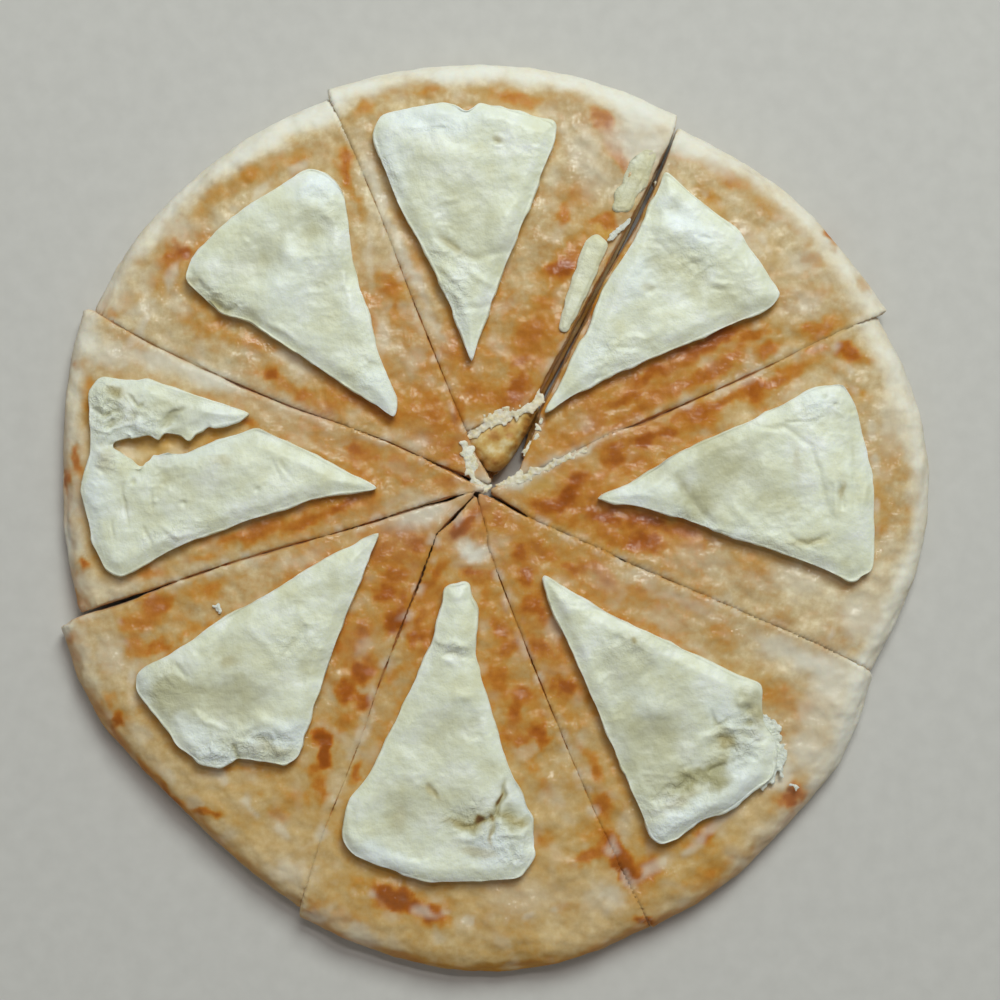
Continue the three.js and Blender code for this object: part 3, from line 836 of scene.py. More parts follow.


# ---------------------------------------------------------------- how the bread baked

# The bread was baked whole and cut afterwards, so its spots run on across the cuts. Each row is
# x, y, half length, half width, turn and strength. Most rows are browning, but the rows at
# (46, -1), (57, -4), (46, -7), (66, 53.5) and (-75, -5), along the low sides of the east,
# north-east and west slabs, are painted shade where the slabs' shadows fall.
BROWNED = marks((
    # over the north wedge
    (-21, 132, 3, 1.5, 0, .32), (-41, 125, 4.5, 1.5, 35, .32), (8, 129, 4.5, 2, -10, .38),
    (-2, 131, 5, 1.5, 0, .16), (33, 122, 4, 1.6, -58, .52), (38, 111, 4.5, 2, -50, .44),
    (28, 99, 3.5, 3, 20, .26), (33, 91, 3, 1.5, 10, .42), (21, 93, 2, 2.5, 0, .44),
    (19, 76, 3, 2.5, 0, .64), (24, 80, 4.5, 2, 70, .4), (15, 67, 3, 2.5, 0, .28),
    (11, 56, 4, 3.5, 30, .38), (8, 48, 2, 1.5, 0, .44), (6, 40, 3, 2, 20, .52),
    (3, 36, 4.5, 1.5, 20, .32), (-5, 38, 4.5, 2, 0, .26), (-14, 53, 5, 1.2, -65, .18),
    (-19, 34, 3, 3, 0, .3), (30, 62, 3, 2, 60, .3),
    # over the north-east wedge
    (60, 110, 4.5, 1.5, -8, .3), (73, 104, 5, 2, -28, .36), (89, 92, 4, 2, -35, .3),
    (68, 96, 5, 1.3, -50, .22), (104, 86, 2.4, 1.6, -40, .6), (98, 79, 2, 1.3, 0, .3),
    (99, 69, 3, 2, 0, .28), (114, 71, 2, 1.5, -50, .32), (100, 58, 4.5, 1.5, 28, .44),
    (84, 52, 4, 2, 25, .46), (79, 56, 5, 1.3, 28, .44), (71, 48, 4.5, 2, 28, .44),
    (63, 43, 4.5, 2, 20, .44), (48, 44, 4.5, 1.5, 28, .5), (40, 37, 4, 1.5, 28, .46),
    # (66, 53.5) is painted shade below the north-east slab.
    (53, 39, 4.5, 2, 25, .38), (66, 53.5, 9, 1.5, 27, .6), (44, 33, 5, 1.5, 25, .32),
    (29, 29, 3, 2, 20, .28),
    (23, 24, 4, 2, 20, .22), (37, 28, 2.5, 1.3, 20, .3),
    # over the east wedge
    (108, 51, 3, 2, 0, .58), (98, 52, 4, 1.3, 25, .36), (114, 49, 2.5, 1.3, -20, .3),
    (112, 38, 1.5, 1, 0, .3), (94, 46, 4.5, 1.5, 25, .32), (86, 42, 3, 1.5, 25, .38),
    (80, 39, 3, 2, 20, .52), (71, 36, 4, 1.5, 25, .5), (61, 32, 4.5, 2, 25, .52),
    (63, 29, 4.5, 1.3, 25, .32), (46, 24, 3, 2, 20, .64), (53, 26, 2, 1.5, 0, .46),
    (36, 19, 3, 2, 20, .5), (25, 11, 2.5, 2.5, 30, .62), (22, 6, 2.5, 2, 0, .62),
    (43, 15, 4.5, 2, 28, .3), (32, 12, 2.5, 2.5, 0, .32), (34, 0, 4.5, 1.5, -15, .6),
    # (46, -1), (57, -4) and (46, -7) are painted shade below the east slab.
    (46, -1, 4.5, 1.5, -20, .6), (57, -4, 4, 1.3, -20, .46), (46, -7, 5, 2, -20, .62),
    (20, 4, 4, 1.3, -20, .44), (14, 4, 4, 1.3, -20, .42), (35, -5, 4, 1.5, -20, .3),
    (20, -1, 4.5, 1.3, -20, .28), (122, 19, 5, 2, 90, .2), (119, 6, 6, 2, 90, .16),
    (77, -13, 5, 2, -20, .16),
    # over the south-east wedge
    (2, -1, 2, 2.5, 0, .4), (8, -11, 2, 2, 0, .5), (9, -18, 2, 2, 0, .54),
    (11, -26, 2.5, 2, 90, .48), (14, -30, 3, 1.5, -70, .42), (13, -39, 2.5, 1.5, -70, .44),
    (21, -52, 2.5, 2, -60, .62), (23, -16, 3, 1.5, -20, .46), (32, -17, 4.5, 1.5, -20, .38),
    (15, -9, 3, 2, -20, .32), (61, -28, 4.5, 2, -20, .22), (69, -36, 4, 2, -20, .22),
    (44, -23, 3, 1.5, -20, .22), (22, -60, 5, 1.5, -62, .16), (28, -73, 4, 1.5, -65, .24),
    (31, -78, 2.5, 1.5, -60, .4), (33, -88, 3, 1.5, -60, .46), (35, -99, 3, 2, -60, .48),
    (39, -106, 4.5, 2.5, -60, .92), (47, -108, 3, 3, 0, .44), (41, -110, 2.5, 2, 0, .42),
    (64, -98, 2.5, 2.5, 0, .52), (59, -102, 2, 1.3, 0, .32), (92, -86, 3, 2, 40, .64),
    (89, -88, 2, 2, 0, .38), (88, -55, 2.5, 3, 0, .26), (94, -59, 2.5, 2.5, 0, .22),
    (83, -53, 1.5, 2.5, 0, .22), (84, -66, 3, 1, 10, .46), (74, -104, 6, 1.5, 35, .2),
    (63, -111, 6, 2.5, 28, .26), (30, -95, 3, 5, -60, .2),
    # over the south wedge
    (-10, -3, 2, 2.5, -30, .72), (-7, 1, 1.5, 2, 0, .48), (-12, -5, 1.3, 1.3, 0, .32),
    (-17, -16, 2.5, 1.5, 60, .38), (-20, -21, 3, 1.5, 65, .36), (-24, -37, 2, 1.3, 70, .52),
    (-23, -31, 2.5, 1.3, 70, .34), (-30, -47, 3, 1.3, 65, .26), (-8, -16, 3, 1, 0, .52),
    (-3, -18, 2, 2, 0, .36), (1, -33, 2.5, 2, -60, .4), (4.5, -39, 2, 2, 0, .4),
    (1, -49, 3, 2, -70, .4), (8, -54, 2.5, 2, -60, .46), (6, -59, 2.5, 2, -60, .52),
    (13, -66, 2.6, 2.2, -60, .6), (7, -67, 2, 1.5, 0, .38), (12, -75, 2.5, 2, -60, .26),
    (15, -83, 2.5, 2, -60, .27), (-2.5, -25, 2.5, 1.5, 90, .28), (-43, -79, 2.5, 1.3, 65, .52),
    (16, -98, 2.2, 2, 0, .32), (28, -105, 3, 2, 25, .54), (33, -102, 2, 2, 0, .38),
    (22, -120, 3, 2, 0, .26), (46, -124, 3, 1.3, -15, .64), (-30, -117, 3.5, 2.4, -30, .88),
    (-20, -122, 4, 2, -20, .6), (-25, -119, 3, 1.5, 0, .36), (-35, -116, 2.5, 2, 0, .36),
    (-43, -113, 2.5, 2, 0, .22), (-55, -118, 2, 2, 0, .38), (-46, -123, 2.5, 2, 0, .24),
    (-14, -119, 2.5, 1.5, 0, .22), (-5, -123, 3, 2, 0, .16),
    # over the south-west wedge
    (-24, -8, 2.2, 2, 0, .5), (-27, -4, 3, 1.3, 25, .3), (-35, -10, 2.5, 2, 20, .35),
    (-31, -17, 2.5, 2.5, 0, .4), (-34, -23, 2.5, 2, 30, .6), (-28, -26, 1.5, 2, 0, .44),
    (-31, -32, 2.5, 2, 60, .72), (-41, -34, 2, 2, 0, .32), (-41, -46, 3, 2.5, 60, .66),
    (-46, -53, 2.5, 2, 60, .62), (-41, -56, 2, 2, 0, .62), (-52.5, -70, 3.4, 2, 90, 1),
    (-53, -84, 3, 1.5, 80, .42), (-55, -77, 2.7, 1.5, 80, .38), (-46, -62, 2, 2, 0, .28),
    (-43, -37, 2.5, 2.5, 0, .24), (-104, -26, 4, 2, 18, .48), (-109, -32, 4, 2.5, 18, .4),
    (-111, -39, 2.5, 2, 0, .34), (-91, -22, 4, 2, 20, .3), (-84, -20, 3, 1.5, 20, .22),
    (-104, -39, 4, 1.3, 30, .42), (-94, -35, 2.5, 1.3, 35, .34), (-116, -62, 1.6, 1.6, -45, .6),
    (-118, -56, 1.5, 2, 0, .3), (-131, -37, 2, 1.5, 0, .28), (-89, -90, 4, 1, -10, .54),
    (-101, -84, 4, 1, -50, .38), (-67, -91, 2.5, 2, 0, .32), (-60, -87, 3, 2.5, 0, .24),
    (-75, -83, 4, 1.5, 0, .16), (-81, -76, 4, 1, -10, .24), (-109, -77, 3, 1, -50, .26),
    # over the west wedge
    (-129, 17, 1.6, 3, 0, .6), (-132, 11, 1, 2.2, 0, .52), (-128, 47, 2, 1.5, 0, .34),
    (-126, 38, 1.3, 4, 0, .22), (-127, -15, 1.3, 1.3, 0, .7), (-130, -24, 1.3, 2, 0, .38),
    (-129, -1, 1.3, 4, 0, .18), (-91, -12, 4, 1.3, 18, .34), (-107, -17, 4, 1.3, 18, .3),
    # (-75, -5) is painted shade below the west slab.
    (-75, -5, 8, 1.6, 18, .42), (-60, -1, 4.5, 1.3, 18, .38), (-46, 4, 4, 1.3, 18, .42),
    (-52, 1, 5, 1.3, 18, .26), (-42, 22, 2, 1.5, 0, .44), (-38, 20, 2, 1.5, 0, .3),
    (-54, 25, 2.5, 1.3, -10, .22), (-60, 24, 3, 1.5, -25, .14), (-27, 12, 3, 1.5, -10, .3),
    (-15, 11, 2.5, 1.5, -10, .4), (-29, 17, 4, 1.3, -25, .24), (-76, 30, 2, 1, -20, .3),
    (-112, 54, 4, 1.3, -25, .18),
    # over the north-west wedge
    (-96, 82, 2.5, 2.2, 30, .62), (-100, 79, 2.5, 2.5, 0, .3), (-75, 106, 2.2, 1.5, 30, .24),
    (-62, 111, 3, 1.5, 20, .18), (-80, 102, 4.5, 1.5, 33, .17), (-88, 98, 4, 2, 40, .16),
    (-69, 107, 6, 1.5, 28, .12), (-46, 110, 3, 2, -70, .5), (-45, 104, 2.5, 1.3, -70, .44),
    (-42, 96, 4, 1.3, -72, .24), (-31, 70, 3, 2, -70, .26), (-34, 72, 2.5, 1.5, -70, .2),
    (-30, 63, 2.5, 1.3, -70, .22), (-69, 44, 1.5, 1.2, 0, .5), (-59, 38, 2.5, 1.5, -30, .4),
    (-65, 42, 3, 1.5, -30, .28), (-20, 39, 2.2, 2.5, 0, .1),
    (-27, 34, 4.5, 2, -25, .12), (-19, 30, 3, 2, -25, .26), (-12, 33, 3, 1.5, -65, .42),
    (-32, 31, 4, 1.5, -25, .26), (-40, 35, 4.5, 1.3, -28, .24), (-14, 22, 2.5, 2, 0, .38),
    (-10, 19, 2.5, 1.2, 60, .34), (-104, 71, 2.5, 2, 90, .22), (-118, 62, 2, 1.3, -30, .32),
    (-114, 67, 3, 2.5, 0, .16), (-78, 55, 6, 1.5, -28, .26), (-91, 60, 4.5, 1.5, -28, .2),
    (-51, 36, 4.5, 1.3, -28, .18), (-72, 54, 4.5, 1.3, -28, .16),
))

# Whitish patches: partly wet, underbaked dough, partly painted sheen where the glaze's gloss shows,
# as at (-23, 1), (-7, -10) and (44, 124).
WHITISH = marks((
    (44, 124, 6, 4, -30, .95), (40, 115, 5, 3.5, -30, .8), (49, 114, 3, 3, 60, .8),
    (27, 112, 3, 6, 0, .4), (60, -27, 7, 1.6, -25, .45), (45, -18, 4, 1.4, -25, .35),
    (30, 102, 3, 3, 0, .4), (58, 113, 4, 2.5, -35, .8), (68, 108, 4, 1.5, -35, .6),
    (-36, 100, 9, 1.2, -68, .6), (-27, 78, 9, 1.2, -68, .6), (-19, 60, 5, 1, -68, .4),
    (94, 78, 4, 3, 0, .45), (96, 67, 3, 2.5, 0, .45), (27, 30, 2, 2, 0, .35),
    (66, 48, 2, 1.5, 0, .3), (77, 86, 4, 3, -40, .4), (109, 67, 3, 2, 0, .2),
    (93, -19, 6, 3, -20, .4), (117, -20, 4, 6, 0, .3), (122, 30, 3, 8, 0, .45),
    (63, -13, 6, 3, -20, .25), (112, -31, 6, 4, -40, .6), (104, -50, 5, 5, 0, .75),
    (97, -44, 5, 3, -20, .8), (106, -63, 4, 6, 0, .55), (96, -72, 4, 4, 0, .7),
    (97, -60, 3, 4, 0, .5), (88, -80, 3, 3, 0, .7), (83, -74, 4, 6, 0, .6),
    (87, -40, 6, 2, -20, .6), (34, -19, 4, 2.5, -20, .25),
    (51, -31, 5, 2, -20, .25), (37, -116, 3, 1.5, 0, .4),
    (18, -34, 2, 3, 0, .4), (-7, -10, 3.4, 2, -20, .97), (8, -117, 8, 4, 0, .3),
    (-41, -129, 5, 2.5, -20, .5), (-55, -122, 3, 2, 0, .6), (32, -117, 4, 4, 0, .3),
    (18, -86, 2, 3, 0, .3), (-23, 1, 7, 3, 15, .8), (-40, -39, 2, 2, 0, .4),
    (-60, -13, 6, 2, 20, .3), (-118, -43, 3, 4, 0, .35), (-134, -34, 3, 2, 0, .8),
    (-63, -108, 4, 3, 0, .5), (-133, -10, 2, 5, 0, .8), (-60, 24, 3, 2, -25, .3),
    (-60, 33, 8, 2, -25, .4), (-29, 15, 4, 1.5, -20, .2), (-89, 44, 8, 2.2, -22, .85),
    (-105, 49, 5, 2.5, -22, .7), (-119, 50, 4, 3, 0, .6),
    (-127, 55, 4, 3, 0, .4), (-115, -22, 5, 2, 15, .3), (-91, -16, 4, 1.5, 18, .2),
    (-35, 56, 2, 4, 0, .45), (-25, 48, 2, 3, 0, .3), (-24, 23, 3, 2, 0, .45),
    (-97, 89, 4, 3, 40, .45), (-109, 64, 3, 2, 0, .45), (-38, 82, 1.5, 6, 0, .3),
    (-63, 48, 5, 1.3, -28, .5), (8, 12, 3.5, 1.3, 30, .95), (17, 16.5, 4, 1.1, 24, .9),
    (27, 21.5, 4, .8, 24, .7), (-4.2, 9.6, 2, 2, 0, .9), (36, 25.8, 5, .6, 24, .5),
    (46, 108, 3, 4, 60, .4), (-7.5, 19, 1.2, 3, 20, .7),
))

# Butter and cheese fat that ran out stains the crust yellow.
BUTTERED = marks((
    (34, 88, 2.5, 2, 0, .9), (84, 84, 9, 2, -50, .4), (72, 36, 2.5, 1.5, 25, .6),
    (112, 37, 2, 2, 0, .6), (118, 18, 6, 1.5, 90, .3), (-11, 21, 3, 2, 0, .7),
    (12, 10, 6, 1.2, 15, .8), (-15, 10, 4, 1.3, 0, .5), (-130, -23, 2, 1.5, 0, .5),
    (-97, 24, 14, 3, 10, .6), (-120, 30, 3, 3, 0, .5), (-104, 72, 2, 5, 0, .4),
    (23, 24, 4, 2, 20, .4), (22, -60, 3, 8, -25, .3), (28, -100, 3, 3, 0, .3),
))


# How the soft wedges were pushed after the cut: their tips crept together over the middle, and
# the edges of the wider cuts spread.
WEDGE_NUDGES: dict[str, tuple[Nudge, ...]] = {
    "north": (corner(1.8, 14, 9, -1.0, 1.0),),
    "northeast": (Nudge((32.6, 75.5), (52.5, 113.7), 16, (-1.1, 0.6)),),
    "east": (Nudge((2, 9), (36, 24), 11, (-0.8, 1.9)),),
    "southeast": (corner(-1.2, 6, 22, -2.6, 1.0), Nudge((4, 4), (32, -9), 9, (0.4, 0.8))),
    "south": (corner(-4, -6, 10, 1.0, 0),),
    "west": (corner(-5.6, 9.8, 10, 1.8, -0.6),),
}

# Small folds, blisters and pits in the baked skin.
SKIN_FOLDS = (
    ridge(1.3, .9, (-13, -6), (-11, -2), (-8, 2)),
    crease(0.5, .8, (-5.3, -3.6), (-2.2, -9.7), (-2.9, -12.8)),
    ridge(0.6, .45, (-13, -14), (-7, -14.5), (-1.6, -14)),
    ridge(0.6, .45, (-60, 24), (-57, 27), (-52.3, 26.5)),
    crease(0.6, .5, (-53.8, 42.5), (-53, 38), (-52.3, 34)),
    ridge(0.6, .5, (44.4, 109.4), (48, 112), (51.8, 112.2)),
    ridge(0.6, .6, (107.4, 44), (109, 42.5), (110.4, 41)),
    crease(0.4, .4, (39, 122), (42, 121)),
    crease(0.6, .6, (85.9, 84), (88, 82.4)),
    ridge(0.9, .4, (-60, 23), (-50, 18), (-40, 15)),
)


# ---------------------------------------------------------------- sub-assemblies


@dataclass
class CrustWedge:
    """One wedge of the baked bread.

    Attributes:
        side: which of the eight wedges it is.
        finish: the crust's material.
        slab: the cheese that lies on it.
        grain: size of a mesh face in millimetres.
        crown: height above which the top skin starts.
        rim_band: width of the pale band inside the rim.
        middle: the point from which the rim is measured.
        meeting: the point near which all the cuts meet.
        rim_flour_and_sheen: how pale the rim is, every 30 degrees from +X round to +X again: partly a
            dusting on the dough, partly painted sheen on the side that faces the window.
        give: how far the lip of a cut can creep back towards its neighbour, in millimetres.
        open_cut: the bearing of the one cut that stayed open, in degrees.
        lee: from the cheese's foot to the groove and the band of painted shade along its low side, in
            millimetres.
        nudges: how the wedge was pushed sideways.
        clay: the wedge once it is laid in place.
    """

    side: str
    finish: bpy.types.Material
    slab: bpy.types.Object
    grain: float = 0.72
    crown: float = 9.5
    rim_band: float = 6.0
    middle: tuple[float, float] = (0.0, 0.0)
    meeting: tuple[float, float] = (-2.0, 9.0)
    rim_flour_and_sheen: tuple[float, ...] = (0.8, 0.8, 0.9, 1.0, 1.0, 0.7, 0.5, 0.1, 0.1, 0.0, 0.2, 0.9, 0.8)
    give: float = 0.62
    open_cut: float = 62.5
    lee: tuple[float, float, float] = (-1.4, -2.0, 0)
    nudges: tuple[Nudge, ...] = ()
    clay: Clay | None = None

    def lay(self) -> BVHTree:
        """Lays the wedge in its place.

        Returns:
            A tree of its faces, against which its neighbours press.
        """
        self.clay = cad_clay(f"dough_{self.side}", f"crust_{self.side}", self.grain, softening=1)
        self.round_rim(self.clay)
        self.clay.nudge(self.nudges)
        self.draw_out_tip(self.clay)
        return BVHTree.FromObject(self.clay.piece, bpy.context.evaluated_depsgraph_get())

    def round_rim(self, clay: Clay) -> None:
        """Rounds the rim off, but not the cuts.

        Args:
            clay: the wedge.
        """
        rounds, band, cut_band = 60, 14.0, 4.0
        sharp = clay.points
        inset = self.from_rim(clay)
        near_rim = np.flatnonzero(inset < band)
        from_cut = distances(sharp, sharp[self.cut_faces(clay, inset) > 0.6][::2], near_rim)
        clay.smooth(rounds)
        share = (1 - rise(inset, 0.5 * band, band)) * rise(from_cut, 0.2, cut_band)
        clay.move((sharp - clay.points) * (1 - share)[:, None])

    def cut_faces(self, clay: Clay, inset: np.ndarray) -> np.ndarray:
        """Gives 1 for each point on the two cut faces, 0 for the skin and the rim."""
        return clay.steep(0.45, 0.75) * (1 - self.rim_face(clay, inset))

    def rim_face(self, clay: Clay, inset: np.ndarray) -> np.ndarray:
        """Gives 1 for each point on the rim's outer face, 0 elsewhere."""
        return rise(self.outward(clay), 0.45, 0.8) * (1 - rise(inset, 4, 9))

    def outward(self, clay: Clay) -> np.ndarray:
        """Says how far each point faces away from the bread's middle.

        Args:
            clay: the wedge.

        Returns:
            1 for a point that faces straight out, -1 for one that faces straight in.
        """
        out = clay.points[:, :2] - self.middle
        out /= np.linalg.norm(out, axis=1, keepdims=True)
        return np.sum(clay.normals[:, :2] * out, axis=1)

    def build(self, neighbours: tuple[BVHTree, ...]) -> bpy.types.Object:
        """Shapes and paints the wedge.

        Args:
            neighbours: trees of the faces of the wedges on its two sides.

        Returns:
            The piece, which replaces its CAD node.
        """
        clay = self.clay
        clay.move(self.pressing(clay, neighbours))
        skin = np.flatnonzero(clay.points[:, 2] > self.crown)
        foot = self.slab_foot()
        beside = distances(clay.points, foot, skin)
        below = distances(clay.points, foot + self.lee, skin)
        self.shape(clay, beside, below)
        self.colour(clay, beside, below)
        self.dress(clay.piece)
        return clay.piece

    def slab_foot(self) -> np.ndarray:
        """Finds where the cheese stands on the crust.

        Returns:
            Some of the cheese's lowest points, in millimetres.
        """
        foot_band = 2.0
        points = Clay(self.slab).points
        return points[points[:, 2] < points[:, 2].min() + foot_band][::3]

    def from_rim(self, clay: Clay) -> np.ndarray:
        """Measures how far in from the rim each point lies.

        Args:
            clay: the wedge.

        Returns:
            Millimetres for each point.
        """
        east, north = clay.points[:, 0] - self.middle[0], clay.points[:, 1] - self.middle[1]
        reach = np.hypot(east, north)
        bearing = np.degrees(np.arctan2(north, east)) % 360
        bins = np.floor(bearing).astype(int)
        rim = np.zeros(bins.max() + 1)
        np.maximum.at(rim, bins, reach)
        known = np.flatnonzero(rim > 0.8 * rim.max())
        smooth = np.interp(bearing, known + 0.5, rim[known], period=360)
        return smooth - reach

    def shape(self, clay: Clay, beside: np.ndarray, below: np.ndarray) -> None:
        """Puffs, blisters and dimples the top skin, and roughens the cut.

        Args:
            clay: the wedge.
            beside: how far each point lies from the cheese.
            below: how far it lies from the groove along the cheese's low side.
        """
        facing, height = clay.normals[:, 2], clay.points[:, 2]
        inset = self.from_rim(clay)
        top = rise(facing, 0.15, 0.6) * rise(height, 6, self.crown)
        side = clay.steep(0.4, 0.8) * rise(height, 0.4, 2)
        edge = rise(facing, 0.2, 0.55) * (1 - rise(facing, 0.85, 0.99)) * rise(inset, 4, 7)
        calm = 0.35 + 0.65 * rise(inset, 2, 9)
        puffs = 0.55 * Lumps(21, 16).at(clay.points) + 0.45 * Lumps(22, 7.5).at(clay.points)
        blisters = 0.32 * Lumps(23, 3.6).at(clay.points) + 0.1 * Lumps(24, 1.9).at(clay.points)
        tear = 0.14 * Lumps(25, 4.5).at(clay.points) + 0.1 * Lumps(26, 1.8).at(clay.points)
        folds = sum(
            (fold.lift(clay.points[:, 0], clay.points[:, 1]) for fold in SKIN_FOLDS),
            start=np.zeros(len(clay.points)),
        )
        groove = 0.3 * (1 - rise(below, 0.5, 2.8)) * rise(beside, 0.2, 1.4)
        sharpened = 0.2 * edge * rise(height, 12, 14)
        clay.push(top * (puffs + calm * blisters + folds - groove) + sharpened + side * tear)

    def pressing(self, clay: Clay, neighbours: tuple[BVHTree, ...]) -> np.ndarray:
        """Says how far the cut faces creep back towards their neighbours.

        Args:
            clay: the wedge.
            neighbours: trees of the faces of the wedges on its two sides.

        Returns:
            Millimetres along X, Y and Z for each point.
        """
        widest, overlap = 6.0, 0.06
        slope = np.hypot(clay.normals[:, 0], clay.normals[:, 1])
        soft = rise(slope, 0.12, 0.5) * rise(clay.normals[:, 2], -0.6, -0.2)
        outward = self.outward(clay) / np.maximum(slope, 0.01)
        soft = soft * rise(clay.points[:, 2], 0.4, 2) * (1 - rise(outward, 0.3, 0.65))
        away = clay.points[:, :2] - self.meeting
        bearing = np.degrees(np.arctan2(away[:, 1], away[:, 0])) % 360
        held = (1 - rise(np.abs(bearing - self.open_cut), 4, 8)) * rise(np.hypot(*away.T), 8, 20)
        deep = 1 - rise(clay.points[:, 2], 12.2, 14.2)
        limit = self.give * (1 + 1.1 * deep) * (1 - 0.5 * held)
        shift = np.zeros((len(clay.points), 3))
        for at in np.flatnonzero(soft > 0.01):
            spot = Vector(clay.points[at] * MM)
            found = [tree.find_nearest(spot, widest * MM) for tree in neighbours]
            found = [hit for hit in found if hit[0] is not None]
            if not found:
                continue
            near = min(found, key=lambda hit: hit[3])[0]
            way = np.array((near.x - spot.x, near.y - spot.y)) / MM
            gap = np.hypot(*way)
            if gap > 1e-3 and np.dot(way, clay.normals[at, :2]) > 0:
                length = min(0.5 * gap + overlap, limit[at])
                shift[at, :2] = soft[at] * length * way / gap
        return shift

    def draw_out_tip(self, clay: Clay) -> None:
        """Draws the wedge's thin tip out towards the other tips.

        Args:
            clay: the wedge.
        """
        reach, pull = 10.0, 1.5
        plan = clay.points[:, :2]
        tip = plan[np.argmin(np.hypot(*(plan - self.meeting).T))]
        way = (tip - plan.mean(axis=0)) / np.linalg.norm(tip - plan.mean(axis=0))
        share = 1 - rise(np.hypot(*(plan - tip).T), 0, reach)
        clay.move(np.outer(pull * share, (*way, 0)))

    def colour(self, clay: Clay, beside: np.ndarray, below: np.ndarray) -> None:
        """Paints how far each point has baked.

        Args:
            clay: the wedge.
            beside: how far each point lies from the cheese.
            below: how far it lies from the groove along the cheese's low side, where shade is
                painted.
        """
        points, normals = clay.points, clay.normals
        inset = self.from_rim(clay)
        upper_skin = 12
        rim_face = self.rim_face(clay, inset)
        cut = self.cut_faces(clay, inset)
        crumb = 0.4 * cut * (1 - 0.9 * rise(points[:, 2], 12.5, 14.5))
        under = rise(-normals[:, 2], 0.3, 0.7) * (1 - rise(points[:, 2], 2, 3))
        browned = np.minimum(1.15 * spread(BROWNED, points, 2.0), 1)
        whitish = spread(WHITISH, points, 1.8) * (1 - 0.75 * browned)
        gold = spread(BUTTERED, points, 1.6)
        upper = np.flatnonzero(points[:, 2] > upper_skin)
        lip = 1 - rise(distances(points, points[cut > 0.6][::3], upper), 0.4, 3)
        wide = Lumps(31, 13).at(points)
        near = Lumps(32, 5).at(points)
        patch = Lumps(34, 6.5).at(points)
        toasted = 1 - rise(np.hypot(points[:, 0], points[:, 1]), 32, 112)
        base = 0.23 + 0.21 * toasted + 0.11 * wide + 0.05 * near
        # Painted shade: the crust on the cheese's low side, away from the window, is painted browner
        # and more golden where the cheese's shadow falls; the faint ring all round the cheese is fat
        # that browned the crust.
        shaded = 1 - rise(below, 0.2, 3.2)
        fat_and_painted_shade = (0.04 + 0.06 * near) * (1 - rise(beside, 0.6, 4)) + 0.1 * shaded
        # The rim's pale band is partly a dusting on the dough and partly painted sheen, strongest on
        # the side that faces the window; the rim's outer face is painted browner where the band is
        # weak.
        east, north = points[:, 0] - self.middle[0], points[:, 1] - self.middle[1]
        bearings = np.linspace(0, 360, len(self.rim_flour_and_sheen))
        flour_and_sheen = np.interp(np.degrees(np.arctan2(north, east)) % 360, bearings, self.rim_flour_and_sheen)
        band = 1 - rise(inset + 2.2 * wide + 1.2 * near, self.rim_band - 3, self.rim_band + 3.5)
        band *= flour_and_sheen * (1 - 0.75 * browned)
        leopard = rise(Lumps(33, 9).at(points * (1, 1, 0)), 0.15, 0.6)
        bake = base + (1 - base) * browned + fat_and_painted_shade
        bake = bake * (1 - 0.75 * band) + (0.1 + 0.2 * (1 - flour_and_sheen)) * rim_face
        bake = bake + cut * (0.6 - bake)
        bake = bake * (1 - under) + under * (0.12 + 0.4 * leopard)
        skin = (1 - crumb) * (1 - under)
        clay.paint("bake", bake)
        clay.paint("pale", 0.85 * band * (1 - browned) * (1 - 0.5 * under))
        # The veil is partly painted sheen: whitish patches, random pinkish patches and pale lips
        # along the cuts stand partly for pale wet dough and crumb and partly for the glaze's gloss.
        pinkish = 0.25 * rise(patch, 0.05, 0.8) * (1 - rise(bake, 0.42, 0.62))
        lip = 0.5 * lip * rise(near + 0.5 * patch, -0.1, 0.6) * (1 - cut)
        clay.paint("veil", np.maximum(np.maximum(whitish, pinkish), lip) * skin)
        # The golden tint takes in butterfat, more yellow towards the south, rings round the browned
        # spots, the toasted middle, and the painted shade on the cheese's low side.
        yellow = 0.42 * rise(-points[:, 1], 15, 105) * skin * (1 - band)
        ringed = 0.3 * rise(browned, 0.02, 0.15) * skin * (1 - band)
        tipped = 0.22 * rise(toasted, 0.4, 0.95) * skin
        butter_and_painted_shade = np.max((gold, yellow, 0.3 * shaded, ringed, tipped), axis=0)
        clay.paint("gold", butter_and_painted_shade * (1 - 0.8 * rise(browned, 0.15, 0.85)))
        clay.paint("crumb", crumb)
        pooled = rise(Lumps(35, 9).at(points), -0.1, 0.6)
        wet = (0.27 + 0.7 * pooled + 0.2 * toasted) * rise(inset, 5, 15)
        clay.paint("damp", wet * skin)

    def dress(self, piece: bpy.types.Object) -> None:
        """Gives the wedge its finish and its place in the frame.

        Args:
            piece: the wedge's object.
        """
        piece.data.materials.append(self.finish)
        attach(piece, BODY)
        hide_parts(f"dough_{self.side}")


